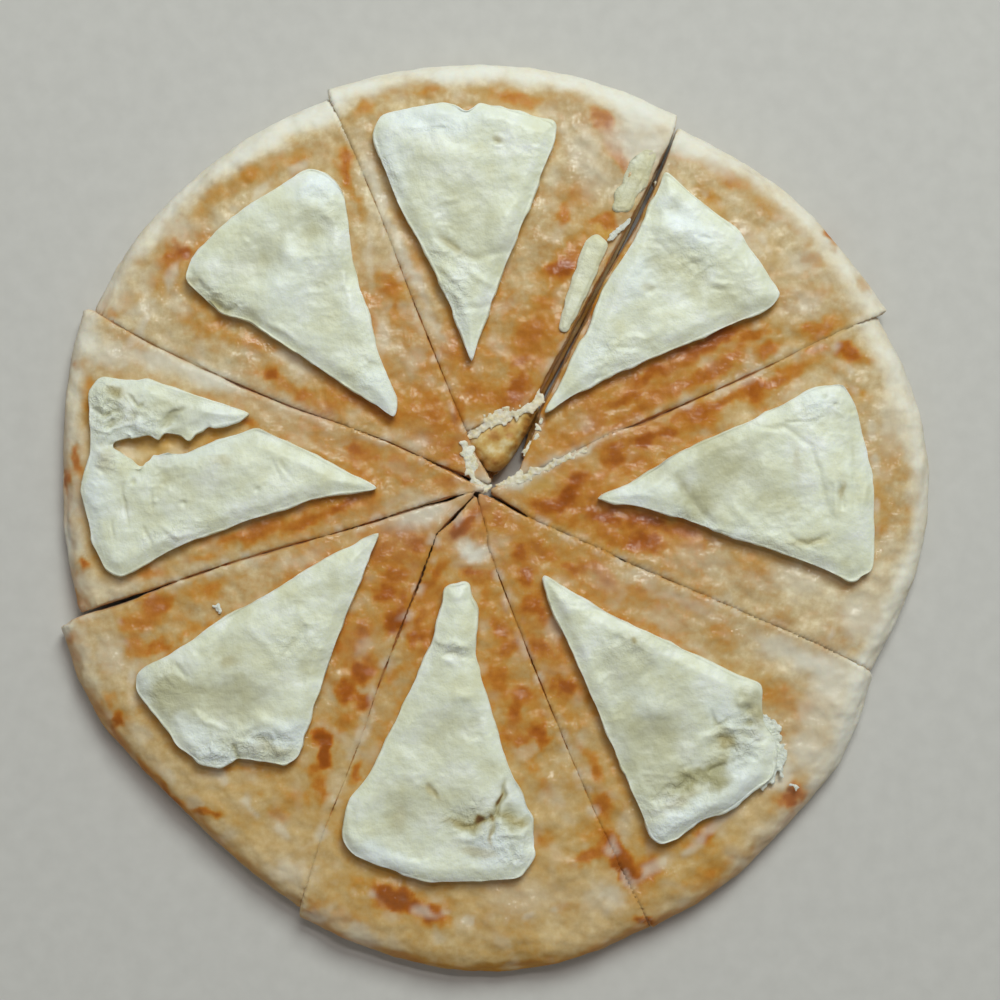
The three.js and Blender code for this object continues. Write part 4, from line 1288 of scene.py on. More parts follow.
@dataclass
class FillingLayer:
    """The layer of crumbled cheese inside one wedge.

    Attributes:
        side: which of the eight wedges it fills.
        finish: the filling's material.
        grain: size of a mesh face in millimetres.
        tear: the line across the north wedge along which its upper crust tore.
        swell: how far the bare filling rose, in millimetres.
        overlap: how far it swelled sideways over the dough below it.
        nudges: how the wedge was pushed sideways.
        creep: how the bare filling of the north wedge crept towards its neighbours.
    """

    side: str
    finish: bpy.types.Material
    grain: float = 0.95
    tear: tuple[tuple[float, float], tuple[float, float]] = ((-8.0, 27.0), (12.0, 36.0))
    swell: float = 4.7
    overlap: float = 2.3
    nudges: tuple[Nudge, ...] = ()
    creep: tuple[Nudge, ...] = (
        Nudge((-7, 26), (-2, 15), 7, (-2.2, -1.2)),
        corner(3, 15, 6, 0.4, -1.0),
    )

    def build(self) -> bpy.types.Object:
        """Shapes and paints the layer.

        Returns:
            The piece, which replaces its CAD node.
        """
        node, name = f"filling_{self.side}", f"filling_layer_{self.side}"
        clay = cad_clay(node, name, self.grain, softening=1)
        clay.nudge(self.nudges)
        if self.side == "north":
            clay.nudge(self.creep)
        steep = clay.steep(0.3, 0.7)
        curds = 0.35 * Lumps(41, 2.6).at(clay.points) + 0.2 * Lumps(42, 4.4).at(clay.points)
        bare = self.laid_bare(clay.points)
        clay.push(steep * curds * (1 - 0.8 * bare))
        if bare.any():
            facing_up = rise(clay.normals[:, 2], 0.0, 0.6)
            swell = self.swell * (1 + 0.1 * Lumps(44, 4).at(clay.points))
            clay.move(np.outer(bare * facing_up * swell, (0, 0, 1))
                      + clay.normals * (self.overlap * bare * steep)[:, None])
        clay.paint("melt", np.maximum(bare, 0.7 * steep))
        clay.piece.data.materials.append(self.finish)
        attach(clay.piece, BODY)
        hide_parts(f"filling_{self.side}")
        return clay.piece

    def laid_bare(self, points: np.ndarray) -> np.ndarray:
        """Says where the upper crust tore off, so that the filling swelled and melted smooth.

        Args:
            points: the layer's points.

        Returns:
            0 where it is covered, 1 where it is bare.
        """
        if self.side != "north":
            return np.zeros(len(points))
        start, end = np.array(self.tear[0]), np.array(self.tear[1])
        run = (end - start) / np.linalg.norm(end - start)
        above = (points[:, 1] - start[1]) * run[0] - (points[:, 0] - start[0]) * run[1]
        return rise(-above, -0.4, 1.6)


@dataclass(frozen=True)
class Dent:
    """A round hollow in the cheese, or a bump.

    Attributes:
        x, y: its middle, in millimetres from the bread's origin.
        radius: how far from its middle it has faded to about a third.
        depth: how deep its middle is, less than nothing for a bump.
    """

    x: float
    y: float
    radius: float
    depth: float

    def lift(self, across: np.ndarray, up: np.ndarray) -> np.ndarray:
        """Says how far the hollow lifts each point: less than nothing, unless it is a bump."""
        away = np.hypot(across - self.x, up - self.y) / self.radius
        return -self.depth * np.exp(-away ** 2)


@dataclass
class CheeseSlab:
    """One softened slice of cheese on a wedge.

    Attributes:
        side: which wedge it lies on.
        finish: the cheese's material.
        folds: its ridges and creases.
        dents: its hollows and bumps.
        stains_and_shade: where whey, butterfat or browning stained it, and where a few creases are
            painted darker as shade.
        fresh_and_highlight: where it is bluish white, partly its own colour and partly painted
            highlight.
        flaky: where it is fine and flaky, torn or crumpled.
        painted_shade: where it is painted grey-olive as shade.
        nudges: how its outline was pushed.
        rounding: rounds of smoothing in plan, away from the sharp tip.
        grain: size of a mesh face in millimetres.
        sink: how far its foot presses into the crust.
        undercut: how far its walls draw in at the foot.
        droop: how far its soft edge sags, in millimetres.
    """

    side: str
    finish: bpy.types.Material
    folds: tuple[Fold, ...] = ()
    dents: tuple[Dent, ...] = ()
    stains_and_shade: tuple[Mark, ...] = ()
    fresh_and_highlight: tuple[Mark, ...] = ()
    flaky: tuple[Mark, ...] = ()
    painted_shade: tuple[Mark, ...] = ()
    nudges: tuple[Nudge, ...] = ()
    rounding: int = 300
    grain: float = 0.42
    sink: float = 0.9
    undercut: float = 0.35
    droop: float = 1.3

    def build(self) -> bpy.types.Object:
        """Shapes and paints the slab.

        Returns:
            The piece, which replaces its CAD node.
        """
        node, name = f"cheese_{self.side}", f"cheese_slab_{self.side}"
        clay = cad_clay(node, name, self.grain, softening=4, rounding=30)
        self.round_corners(clay)
        clay.nudge(self.nudges)
        relief = self.shape(clay)
        self.colour(clay, relief)
        clay.piece.data.materials.append(self.finish)
        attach(clay.piece, BODY)
        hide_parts(f"cheese_{self.side}")
        return clay.piece

    def round_corners(self, clay: Clay) -> None:
        """Rounds the slab's corners in plan, but not the tip that points at the middle.

        Args:
            clay: the slab.
        """
        sharp_within, round_beyond = 8, 26  # millimetres from the tip
        sharp = clay.points
        tip = sharp[np.argmin(np.hypot(sharp[:, 0], sharp[:, 1]))]
        clay.smooth(self.rounding, upright=False)
        from_tip = np.hypot(sharp[:, 0] - tip[0], sharp[:, 1] - tip[1])
        kept = 1 - rise(from_tip, sharp_within, round_beyond)
        clay.move((sharp - clay.points) * kept[:, None])

    def shape(self, clay: Clay) -> np.ndarray:
        """Slumps, folds and dents the slab.

        Args:
            clay: the slab.

        Returns:
            How far each point was lifted by folds and dents.
        """
        self.sag(clay)
        clay.smooth(rounds=3)
        points = clay.points
        top, steep = rise(clay.normals[:, 2], -0.2, 0.4), clay.steep(0.3, 0.8)
        sway = 0.55 * Lumps(51, 19).at(points) + 0.5 * Lumps(52, 8.5).at(points)
        flaky = np.maximum(0.25 * rise(Lumps(58, 16).at(points), -0.1, 0.5),
                           spread(self.flaky, points, 1.5))
        sheets = 1 - np.abs(Lumps(59, 4.2).at(points * (0.7, 1.2, 1)))
        shreds = 1 - np.abs(Lumps(64, 2.0).at(points))
        flakes = flaky * (0.75 * (sheets ** 3 - 0.3) + 0.4 * (shreds ** 2 - 0.4))
        dimple = 0.16 * Lumps(53, 3.6).at(points) + 0.06 * Lumps(54, 1.8).at(points) + flakes
        torn = 0.35 + 0.65 * rise(Lumps(60, 24).at(points), -0.15, 0.35)
        ragged = torn * (0.7 * Lumps(55, 6).at(points) + 0.25 * Lumps(56, 2.6).at(points))
        ragged = ragged + 0.6 * Lumps(63, 12).at(points) + 0.5 * flaky * Lumps(66, 3).at(points)
        wander = 0.9 * Lumps(57, 4.5).at(points)
        relief = sum(
            (form.lift(points[:, 0] + wander, points[:, 1] - wander)
             for form in (*self.folds, *self.dents)),
            start=np.zeros(len(points)),
        )
        clay.push(top * (sway + dimple + relief) + steep * ragged)
        self.soften_edge(clay)
        clay.press_foot(self.sink)
        return relief + dimple + 1.1 * sway

    def soften_edge(self, clay: Clay) -> None:
        """Rounds the slab's upper edge, but keeps the finer folds of its top.

        Args:
            clay: the slab.
        """
        rounds, band = 14, 3.2
        sharp = clay.points
        from_edge = distances(sharp, clay.walls(), np.arange(len(sharp)))
        clay.smooth(rounds)
        clay.move((sharp - clay.points) * rise(from_edge, 0.8, band)[:, None])

    def sag(self, clay: Clay) -> None:
        """Lets the soft edge sag and draws the walls in at the foot.

        Args:
            clay: the slab.
        """
        band = 4.5
        points, normals = clay.points, clay.normals
        from_edge = distances(points, clay.walls(), np.flatnonzero(normals[:, 2] > 0.3))
        upper = rise(normals[:, 2], 0.3, 0.7)
        low, high = points[:, 2].min(), points[:, 2].max()
        depth = (high - points[:, 2]) / (high - low)
        inward = -normals * (1, 1, 0) * clay.steep(0.2, 0.7)[:, None]
        sagged = np.outer(upper * self.droop * (1 - rise(from_edge, 0, band)), (0, 0, -1))
        clay.move(sagged + inward * (self.undercut * depth)[:, None])

    def colour(self, clay: Clay, relief: np.ndarray) -> None:
        """Paints the slab's hollows, edges and stained spots, with painted shade in its low places,
        walls and some creases, and painted highlight in its bluish white.

        Args:
            clay: the slab.
            relief: how far each point was lifted.
        """
        low = clay.points[:, 2].min()
        # Painted shade: the lower places and the painted-shade marks take the darker hollow colour,
        # partly whey in the hollows and partly painted shade.
        painted_shade = spread(self.painted_shade, clay.points, 3.0)
        clay.paint("hollow", np.maximum(0.75 * rise(-relief, 0.0, 1.7), painted_shade))
        clay.paint("fibrous", 0.12 + 0.8 * spread(self.flaky, clay.points, 2.0))
        # Stained spots, and painted shade along a few creases.
        clay.paint("stain_and_shade", spread(self.stains_and_shade, clay.points, 1.0))
        # Bluish white: partly the curd's own colour, partly painted highlight.
        clay.paint("fresh_and_highlight", 0.9 * spread(self.fresh_and_highlight, clay.points, 2.0))
        # The walls near the foot are painted the darker yellow of thin cheese, which also stands for
        # painted shade on the walls.
        edge = rise(1 - clay.normals[:, 2], 0.25, 0.9)
        edge = edge * (1 - rise(clay.points[:, 2], low + 2, low + 5.5))
        clay.paint("thin", 0.7 * edge)


@dataclass
class CheeseShaving:
    """A thin strip of cheese that fell beside a slab.

    Attributes:
        node: its CAD node.
        finish: the cheese's material.
        grain: size of a mesh face in millimetres.
        thickness: how thick it stays, as a share of the CAD strip.
        melted: how yellow and see-through it melted, from 0 to 1.
        slump: how far it spread sideways as it melted, in millimetres.
        sink: how far its foot presses into the crust.
    """

    node: str
    finish: bpy.types.Material
    grain: float = 0.3
    thickness: float = 1.0
    melted: float = 0.3
    slump: float = 0.5
    sink: float = 0.8

    def build(self) -> bpy.types.Object:
        """Shapes and paints the strip.

        Returns:
            The piece, which replaces its CAD node.
        """
        clay = cad_clay(self.node, f"{self.node}_soft", self.grain, softening=3, rounding=120)
        low = clay.points[:, 2].min()
        clay.move(np.outer((self.thickness - 1) * (clay.points[:, 2] - low), (0, 0, 1)))
        walls = clay.steep(0.3, 0.7)
        ragged = self.slump * (1 + 0.6 * Lumps(65, 4).at(clay.points))
        clay.move(clay.normals * (1, 1, 0) * (ragged * walls)[:, None])
        wave = 0.22 * Lumps(61, 5).at(clay.points) + 0.1 * Lumps(62, 2).at(clay.points)
        clay.push(wave)
        clay.press_foot(self.sink)
        # The troughs are painted darker, in the grey-olive of whey, as painted shade.
        clay.paint("hollow", 0.4 * rise(-wave, 0.0, 0.3))
        clay.paint("stain_and_shade", np.zeros(len(clay.points)))
        clay.paint("fibrous", np.full(len(clay.points), 0.2))
        # The thin cheese's yellow: patches where it melted, and the walls, where it also stands for
        # painted shade.
        patchy = self.melted * (1 + 0.5 * Lumps(67, 7).at(clay.points))
        clay.paint("thin", np.maximum(patchy, 0.8 * rise(1 - clay.normals[:, 2], 0.3, 0.9)))
        clay.piece.data.materials.append(self.finish)
        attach(clay.piece, BODY)
        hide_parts(self.node)
        return clay.piece


# ---------------------------------------------------------------- each slab's own shape and stains

# Each slab's ridges and creases.
SLAB_FOLDS: dict[str, tuple[Fold, ...]] = {
    "north": (
        ridge(1.6, .5, (-36, 118), (-32, 108), (-27, 98)),
        crease(1.6, .5, (-36, 121.5), (-28, 122), (-18, 121)),
        ridge(1.1, .3, (-21, 125), (-12, 123.6), (-4, 125)),
        ridge(0.8, .35, (-1, 113.5), (2, 113.4)),
        ridge(0.9, .45, (-17, 97.5), (-14, 97), (-11, 97.6)),
        crease(1.5, 1.1, (-19, 87.5), (-15, 84.5), (-11, 82)),
        crease(1.6, .7, (-12, 82), (-6, 79.6), (0, 80.5), (6, 83.3)),
        ridge(1.4, .65, (-22, 80), (-16, 76), (-10, 70)),
        ridge(1.1, .5, (-18, 73), (-12, 68), (-8, 61)),
        ridge(1.0, .45, (-10, 78), (-5, 73), (1, 70)),
        crease(1.0, .5, (-19, 77), (-13, 72), (-9, 66)),
        crease(0.9, .45, (-9, 64.5), (-4, 64), (-1, 66)),
    ),
    "northeast": (
        crease(2.2, .7, (46, 92), (52, 94), (58, 97)),
        ridge(3.2, .9, (48, 86), (56, 87.5), (66, 84)),
        ridge(1.0, .5, (58.5, 80.5), (63, 79.3)),
        crease(1.0, .5, (58, 78.5), (63, 77.3)),
        ridge(0.9, .45, (65, 72.5), (71, 71.5)),
        crease(0.9, .25, (65, 70.5), (71, 69.8)),
        ridge(0.8, .4, (71.5, 59), (74.5, 58.3)),
        ridge(1.2, .45, (38, 56), (45, 55), (52, 58)),
        crease(1.1, .45, (36, 53), (42, 51), (47, 52)),
        crease(0.6, .4, (30, 42), (32, 45)),
        crease(0.5, .35, (61, 86), (66, 85)),
    ),
    "east": (
        crease(1.6, .9, (54, 14), (60, 5), (66.4, -2.4)),
        ridge(1.6, .7, (71, 5), (76, 0), (80, -3)),
        crease(0.9, .55, (76.2, 28), (88, 28), (95.9, 22.2), (97.8, 16.2), (101.8, 1.4),
               (99.7, -6.4)),
        ridge(1.4, .55, (57, .5), (68.4, -3.6), (84, -6.5), (95, -12)),
        crease(0.5, .4, (78, 28.6), (87, 26.8)),
        crease(0.5, .35, (88, 29.3), (96, 29.9)),
        crease(0.6, .7, (105, 11), (105.5, 7), (105.8, 2.5)),
        ridge(0.8, .45, (103.2, 13), (103.6, 6), (103.6, 0)),
        crease(0.8, .9, (88.3, -3.6), (92, -6.6), (95.4, -7.9), (99, -6), (102, -3.6)),
        ridge(1.0, .5, (112, 20), (113, 10), (112, 0)),
        crease(0.8, .45, (109, 24), (110, 12), (109, 2)),
        ridge(1.2, .55, (98, -17), (104, -20), (109, -20)),
    ),
    "southeast": (
        ridge(3.2, .6, (41, -56), (49, -58.5), (57, -60)),
        ridge(1.9, .8, (56, -76), (60, -71), (64, -67), (70, -64.5), (76, -63.5)),
        crease(0.9, 1.3, (65.5, -78.5), (70, -74)),
        ridge(1.0, .6, (57, -76.5), (61, -79.5), (65, -79.5)),
        crease(1.3, .9, (49, -85), (56, -82), (63, -79)),
        ridge(1.9, .6, (44, -88.5), (50, -88), (60, -84.5), (69, -79)),
        ridge(3.2, 1.1, (46, -97), (56.4, -91.5), (70.7, -85), (80, -74)),
        crease(0.6, .8, (65.3, -57.3), (66.5, -62.5), (73.6, -60.4)),
        ridge(1.2, .8, (73, -56), (79, -57)),
        ridge(1.0, .6, (80, -58), (81, -64)),
        crease(1.0, .6, (75, -66), (80, -68), (83, -67)),
        crease(0.8, .7, (75, -72), (80, -73.5)),
    ),
    "south": (
        ridge(1.3, .75, (-20, -36.5), (-14, -38), (-7, -38.5)),
        crease(1.2, .55, (-18, -40), (-12, -41.5), (-7, -42)),
        ridge(0.9, .4, (-17, -42.5), (-12, -44.5)),
        ridge(1.6, .45, (-14, -53), (-6, -55)),
        crease(0.8, .7, (-21, -80.6), (-18, -85)),
        crease(0.6, 2.2, (4.6, -79.6), (2, -84.9), (-.1, -90.1), (-6.3, -94.3), (-12.7, -93.7)),
        crease(0.5, 1.7, (-.6, -91.1), (-1.1, -97.4)),
        ridge(1.3, .8, (-14, -96.5), (-7, -97.5), (-2, -96)),
        ridge(1.2, .75, (1, -94.8), (8, -96.5), (12, -95)),
        ridge(3.0, 1.0, (-45, -99), (-38, -104), (-24, -107), (-10, -108.5)),
        crease(0.7, .8, (4, -99), (6, -104), (4, -108)),
        ridge(2.0, .6, (-45, -88), (-46, -95), (-42, -101)),
    ),
    "southwest": (
        ridge(1.1, .75, (-92.8, -57.6), (-89.5, -61.3), (-86.2, -63), (-81, -64)),
        ridge(1.8, .6, (-80, -64.5), (-74, -62), (-68, -60.5)),
        ridge(2.4, .7, (-74, -61.5), (-68, -63), (-62, -66)),
        crease(0.8, .6, (-98.6, -43.5), (-93.6, -49.3)),
        ridge(1.2, .4, (-101, -46), (-97, -52)),
        crease(1.0, .65, (-64.6, -41), (-57.2, -32.8)),
        ridge(1.4, .45, (-76, -33), (-70, -38), (-66, -44)),
        ridge(1.6, .5, (-94, -68), (-89, -72), (-83, -70)),
        ridge(1.8, .5, (-77, -70), (-70, -72.5), (-63, -70)),
        crease(1.2, .5, (-78, -66), (-70, -68), (-62, -66)),
        crease(0.7, 1.5, (-79.4, -69), (-79.2, -72), (-78.6, -77)),
    ),
    "west": (
        ridge(1.4, .8, (-112, 29), (-106, 27), (-99, 26)),
        ridge(1.0, .55, (-84, 35), (-92, 38), (-102, 40)),
        crease(0.8, .9, (-103, 27), (-98.3, 31.7), (-95.3, 34.8)),
        crease(0.7, 1.1, (-124, 34), (-119, 31), (-114, 33)),
        crease(0.6, 1.0, (-120, 27), (-116, 30)),
        ridge(0.8, .8, (-125, 30), (-121, 27), (-117, 26)),
        ridge(0.8, .7, (-118, 36), (-113, 36)),
        crease(0.5, 1.0, (-112, 38), (-109, 34), (-107, 35)),
        ridge(0.8, .5, (-121, 42), (-114.6, 40)),
        ridge(0.9, .6, (-122, 21), (-118, 19), (-114, 20)),
        crease(0.6, .6, (-123, 16), (-119, 14)),
        crease(0.5, .55, (-113.7, 12), (-113, 4), (-111.8, -4)),
        crease(0.5, .5, (-107.5, -2.1), (-104.5, -9.7)),
        crease(0.4, .4, (-117, 0), (-116, -7)),
        crease(0.5, .4, (-106, 10), (-105, 3)),
        ridge(0.9, .6, (-102.9, -1.4), (-96.8, -5.7), (-86, -3.6)),
        ridge(0.7, .35, (-106, 6.4), (-103, 5.2)),
        ridge(1.6, .55, (-96, 24), (-88, 24.6), (-82, 28)),
        crease(0.6, .35, (-66, 18), (-62, 12)),
        crease(0.6, .35, (-69, 19), (-65, 12)),
    ),
    "northwest": (
        ridge(2.4, .6, (-66, 84), (-62, 80), (-58, 79)),
        ridge(1.6, .45, (-60, 97), (-52, 94), (-48, 86)),
        crease(1.0, .75, (-90.7, 67.9), (-83, 63.3), (-78.4, 64.9)),
        ridge(1.0, .55, (-88, 65), (-82, 60.6), (-77, 62)),
        ridge(1.0, .45, (-74, 62), (-66, 58), (-58, 52)),
        crease(0.8, .55, (-93, 76), (-90, 71), (-86, 68)),
        crease(0.8, .55, (-41, 49), (-36, 47), (-33, 45)),
        ridge(0.8, .3, (-78, 86), (-74, 83)),
    ),
}

# Each slab's hollows and bumps.
SLAB_DENTS: dict[str, tuple[Dent, ...]] = {
    "north": (
        Dent(.5, 115, 1.0, .7), Dent(-6, 100, 9, .55),
        Dent(-26, 104, 6, .4), Dent(2, 88, 6, -.55), Dent(8, 118, 6, -.45), Dent(-14, 112, 7, -.4),
    ),
    "northeast": (
        Dent(46.6, 70, 1.2, .45), Dent(62, 74, 7, .8), Dent(74, 63, 5, .7), Dent(50, 72, 5, .4),
        Dent(80, 72, 4, -.4), Dent(38, 50, 6, -.4),
    ),
    "east": (
        Dent(70.3, 16.1, 9, 1.1), Dent(63, 3, 5, .9), Dent(78, 6, 4, -.6), Dent(84, 14, 5, -.4),
        Dent(76, -1, 3, .4), Dent(99.7, 37.9, .7, .6), Dent(104, 34.5, .7, .6),
        Dent(109, 32.6, .7, .6), Dent(92, 6, 6, .4),
    ),
    "southeast": (
        Dent(38, -37, 2, .7), Dent(42, -41, 2.4, .8), Dent(47, -46, 2.4, .6), Dent(35, -46, 4, .5),
        Dent(56, -50, 5, .5), Dent(46, -70, 12, 1.2), Dent(38, -52, 7, .5), Dent(62, -80, 6, 1.1),
        Dent(57, -68, 5, .5), Dent(33, -32, 3, -.4),
        Dent(71, -68.5, 2.6, 1.4), Dent(77, -58, 1.6, 1.7), Dent(78, -62.3, 1.2, 1.7),
    ),
    "south": (
        Dent(-14, -31, 3, .35), Dent(-18, -66, 6, .55), Dent(-8, -60, 5, .4),
        Dent(-30, -89, 4.5, 1.0), Dent(-30, -96, 3, .5), Dent(5.5, -90.5, 3.6, 1.2),
        Dent(-9, -92.5, 3.6, 1.1), Dent(-4.7, -92.5, 1.1, .9), Dent(-7, -103, 3.4, .9),
        Dent(10, -104, 4, -.7),
    ),
    "southwest": (
        Dent(-86, -54, 6.5, 1.5), Dent(-77, -56, 6, .9), Dent(-71, -41, 4, .5),
        Dent(-57, -45, 4, .4), Dent(-62, -26, 3, .3), Dent(-81, -43, 4, .4),
        Dent(-98, -54, 6, .9),
    ),
    "west": (
        Dent(-95, 30.5, 7, .9), Dent(-116, 38.5, 1.8, 1.3), Dent(-120, 22, 1.6, 1.1),
        Dent(-110, 31, 1.4, 1.0), Dent(-83, 18, 3.4, .7), Dent(-95.3, 5, .9, .8),
        Dent(-110.6, 11.5, .9, .9), Dent(-98, 14, 4, .5), Dent(-73.2, 9.3, .8, .7),
    ),
    "northwest": (
        Dent(-56, 88.5, 6, 1.2), Dent(-72, 78.5, 6, 1.0), Dent(-52, 73, 6, 1.0),
        Dent(-84, 72, 4, .5), Dent(-38, 46, 2.5, .6), Dent(-60, 62, 5, .4), Dent(-66, 70, 4, -.5),
        Dent(-93, 72, 1.2, .5), Dent(-88, 65, 7, .8), Dent(-76, 57, 8, 1.0),
        Dent(-61, 48, 7, .8), Dent(-48, 41, 5, .5),
    ),
}

# Where whey, butterfat or browning stained a slab, and painted shade along a few creases: (-10, -93),
# (6, -92) and (-5, -102) on the south slab and (-69, -70) on the south-west one.
SLAB_STAINS_AND_SHADE: dict[str, tuple[Mark, ...]] = {
    "north": marks(((.5, 115, 1, .8, 0, .4), (-13, 83, 3, .8, -35, .3))),
    "northeast": marks(((46.6, 70, 1.4, .9, 0, .25), (74, 61, 3, 1.5, 25, .3))),
    "east": marks(((105.5, 8, 2, .6, 90, .5), (95, -7.5, 5, .8, 0, .35), (92, 18, .7, 3, 10, .25))),
    "southeast": marks((
        (42, -37.4, .8, .8, 0, .6), (70, -68.5, 2, 1.4, 20, .5), (80, -60, 2, 4, 0, .3),
        (57, -86, 4, 1, 25, .3),
    )),
    "south": marks((
        (-19, -83, 2, .8, -60, .5), (-29.5, -91, 1.5, 3, 0, .25), (-4.7, -92, 1.3, 1.1, 0, .95),
        (1.6, -85.6, .5, 1.6, -15, .9), (-1, -92, .5, 1.2, 0, .7), (-1.4, -97, .5, 2, 0, .6),
        (-10, -93, 4, 1, -10, .5), (6, -92, 4, 1, -25, .5), (-5, -102, 4, 1, -5, .4),
    )),
    "southwest": marks(((-80.8, -43.5, 2, 1.5, 0, .35), (-69, -70, 5, 1, -10, .3))),
    "west": marks((
        (-83, 18, 2, 1.5, 0, .3), (-116, 38.5, 2, 1.5, 0, .55), (-119, 18, 2, 3, 0, .3),
    )),
    "northwest": marks(((-93, 72, 1.5, 1, 0, .35), (-84, 64, 5, 1, -20, .25))),
}

# Where a slab is painted bluish white: partly the curd's own colour, partly painted highlight, as
# along the north slab's top edge at (-18, 122).
SLAB_FRESH_AND_HIGHLIGHT: dict[str, tuple[Mark, ...]] = {
    "north": marks((
        (-18, 122, 11, 3.5, -2, .8), (-31, 108, 7, 3, -72, .5), (-12, 62, 3, 6, 0, .4),
    )),
    "northeast": marks(((58, 90, 7, 3, -45, .7), (44, 74, 4, 4, 0, .6), (30, 52, 3, 6, -30, .4))),
    "east": marks(((62, -3, 10, 2, -18, .5), (97, 37, 5, 3, -20, .6), (46, 8, 6, 2, 10, .5))),
    "southeast": marks((
        (70, -60, 6, 3, -20, .5), (76, -72, 4, 6, 0, .7), (56, -93, 9, 2.5, 30, .8),
        (46, -57, 5, 2, -30, .5), (73, -83, 4, 4, 40, .6),
    )),
    "south": marks(((-32, -104, 9, 2, -15, .7), (0, -100, 6, 5, 0, .8), (9, -88, 2, 6, 20, .6))),
    "southwest": marks((
        (-65, -66, 7, 3, 0, .8), (-92, -64, 6, 3, -40, .6), (-108, -48, 3, 5, 0, .5),
        (-86, -72, 5, 2, 0, .7),
    )),
    "west": marks((
        (-122, 8, 2.5, 8, 0, .7), (-112, 26, 7, 2, 10, .6), (-90, 21, 9, 2, 20, .5),
        (-112, 42, 8, 1.5, 0, .4), (-86, 30, 6, 3, -15, .4),
    )),
    "northwest": marks(((-52, 101, 6, 3, 10, .9), (-62, 72, 6, 8, 0, .4), (-36, 40, 3, 5, 20, .5))),
}

# Where a slab is fine and flaky, torn or crumpled.
SLAB_FLAKES: dict[str, tuple[Mark, ...]] = {
    "north": marks((
        (-12, 68, 4, 6, 0, .6), (-14, 80, 6, 2, -25, .5), (-34, 108, 6, 1.5, -72, .6),
        (-16, 120, 9, 1, 0, .4),
    )),
    "northeast": marks(((60, 78, 6, 5, 0, .35), (36, 50, 6, 5, 30, .35))),
    "east": marks(((62, -3, 7, 2, -18, .7), (97, 33, 5, 3, 0, .5), (88, -8, 8, 2, -15, .4))),
    "southeast": marks((
        (74, -68, 5, 6, 0, .9), (54, -84, 8, 3, 30, .6), (38, -40, 5, 4, 0, .35),
        (56, -93, 7, 2, 30, .4),
    )),
    "south": marks(((-4, -92, 8, 4, -10, .7), (4, -102, 5, 3, 0, .6), (-14, -40, 5, 2, 0, .4))),
    "southwest": marks((
        (-86, -71, 5, 3, 0, .9), (-70, -69, 7, 3.5, 0, .9), (-62, -38, 6, 3, 50, .4),
        (-102, -50, 4, 5, 0, .35),
    )),
    "west": marks((
        (-119, 34, 4, 6, 0, .9), (-108, 30, 5, 3, 0, .7), (-116, 18, 4, 2.5, 0, .7),
        (-98, -4, 8, 1.5, 20, .4),
    )),
    "northwest": marks(((-84, 66, 6, 2, -20, .6), (-38, 45, 4, 4, 0, .4), (-48, 92, 4, 5, 0, .3))),
}

# Painted shade on each slab, in the grey-olive of whey: patches where its folds and low places lie in
# shade.
SLAB_PAINTED_SHADE: dict[str, tuple[Mark, ...]] = {
    "north": marks(((-8, 96, 7, 9, 0, .3), (-22, 106, 4, 6, 0, .22), (2, 82, 5, 5, 0, .25))),
    "northeast": marks(((70, 68, 7, 4, 25, .3), (56, 76, 4, 3, 0, .25), (40, 56, 5, 4, 0, .2))),
    "east": marks(((70, 17, 7, 6, -20, .6), (62, 5, 4, 5, -30, .75), (84, 8, 6, 6, 0, .25))),
    "southeast": marks((
        (40, -46, 5, 7, -25, .4), (48, -66, 8, 6, -25, .65), (62, -80, 7, 2.6, 20, 1),
        (56, -55, 6, 4, -25, .3), (50, -80, 5, 3, 10, .5), (68, -76, 3, 1.6, 45, .8),
        (70, -68, 3.5, 2.5, 20, .6), (78, -58, 2, 4, 0, .6),
    )),
    "south": marks((
        (-18, -66, 6, 7, 0, .3), (-28, -86, 7, 5, 0, .35), (-12, -84, 7, 5, 0, .25),
        (6, -92.5, 4, 1.6, -15, .8), (-9, -93, 4, 1.6, 0, .6),
    )),
    "southwest": marks((
        (-98, -53, 5, 6, 30, .75), (-82, -54, 7, 4, 0, .6), (-70, -48, 6, 5, 40, .25),
        (-78, -40, 4, 4, 0, .2),
    )),
    "west": marks(((-92, 8, 8, 4, 10, .28), (-96, 33, 6, 3, -10, .3), (-72, 12, 6, 3, 0, .15))),
    "northwest": marks(((-55, 90, 6, 4, 0, .3), (-72, 80, 7, 5, 30, .35), (-56, 66, 6, 6, 0, .2))),
}

# Rounds of smoothing in plan where a slab's corners stayed sharper than the others': the west
# one is torn and thin, and the south one has a narrow neck.
SLAB_ROUNDING = {"west": 40, "south": 200}

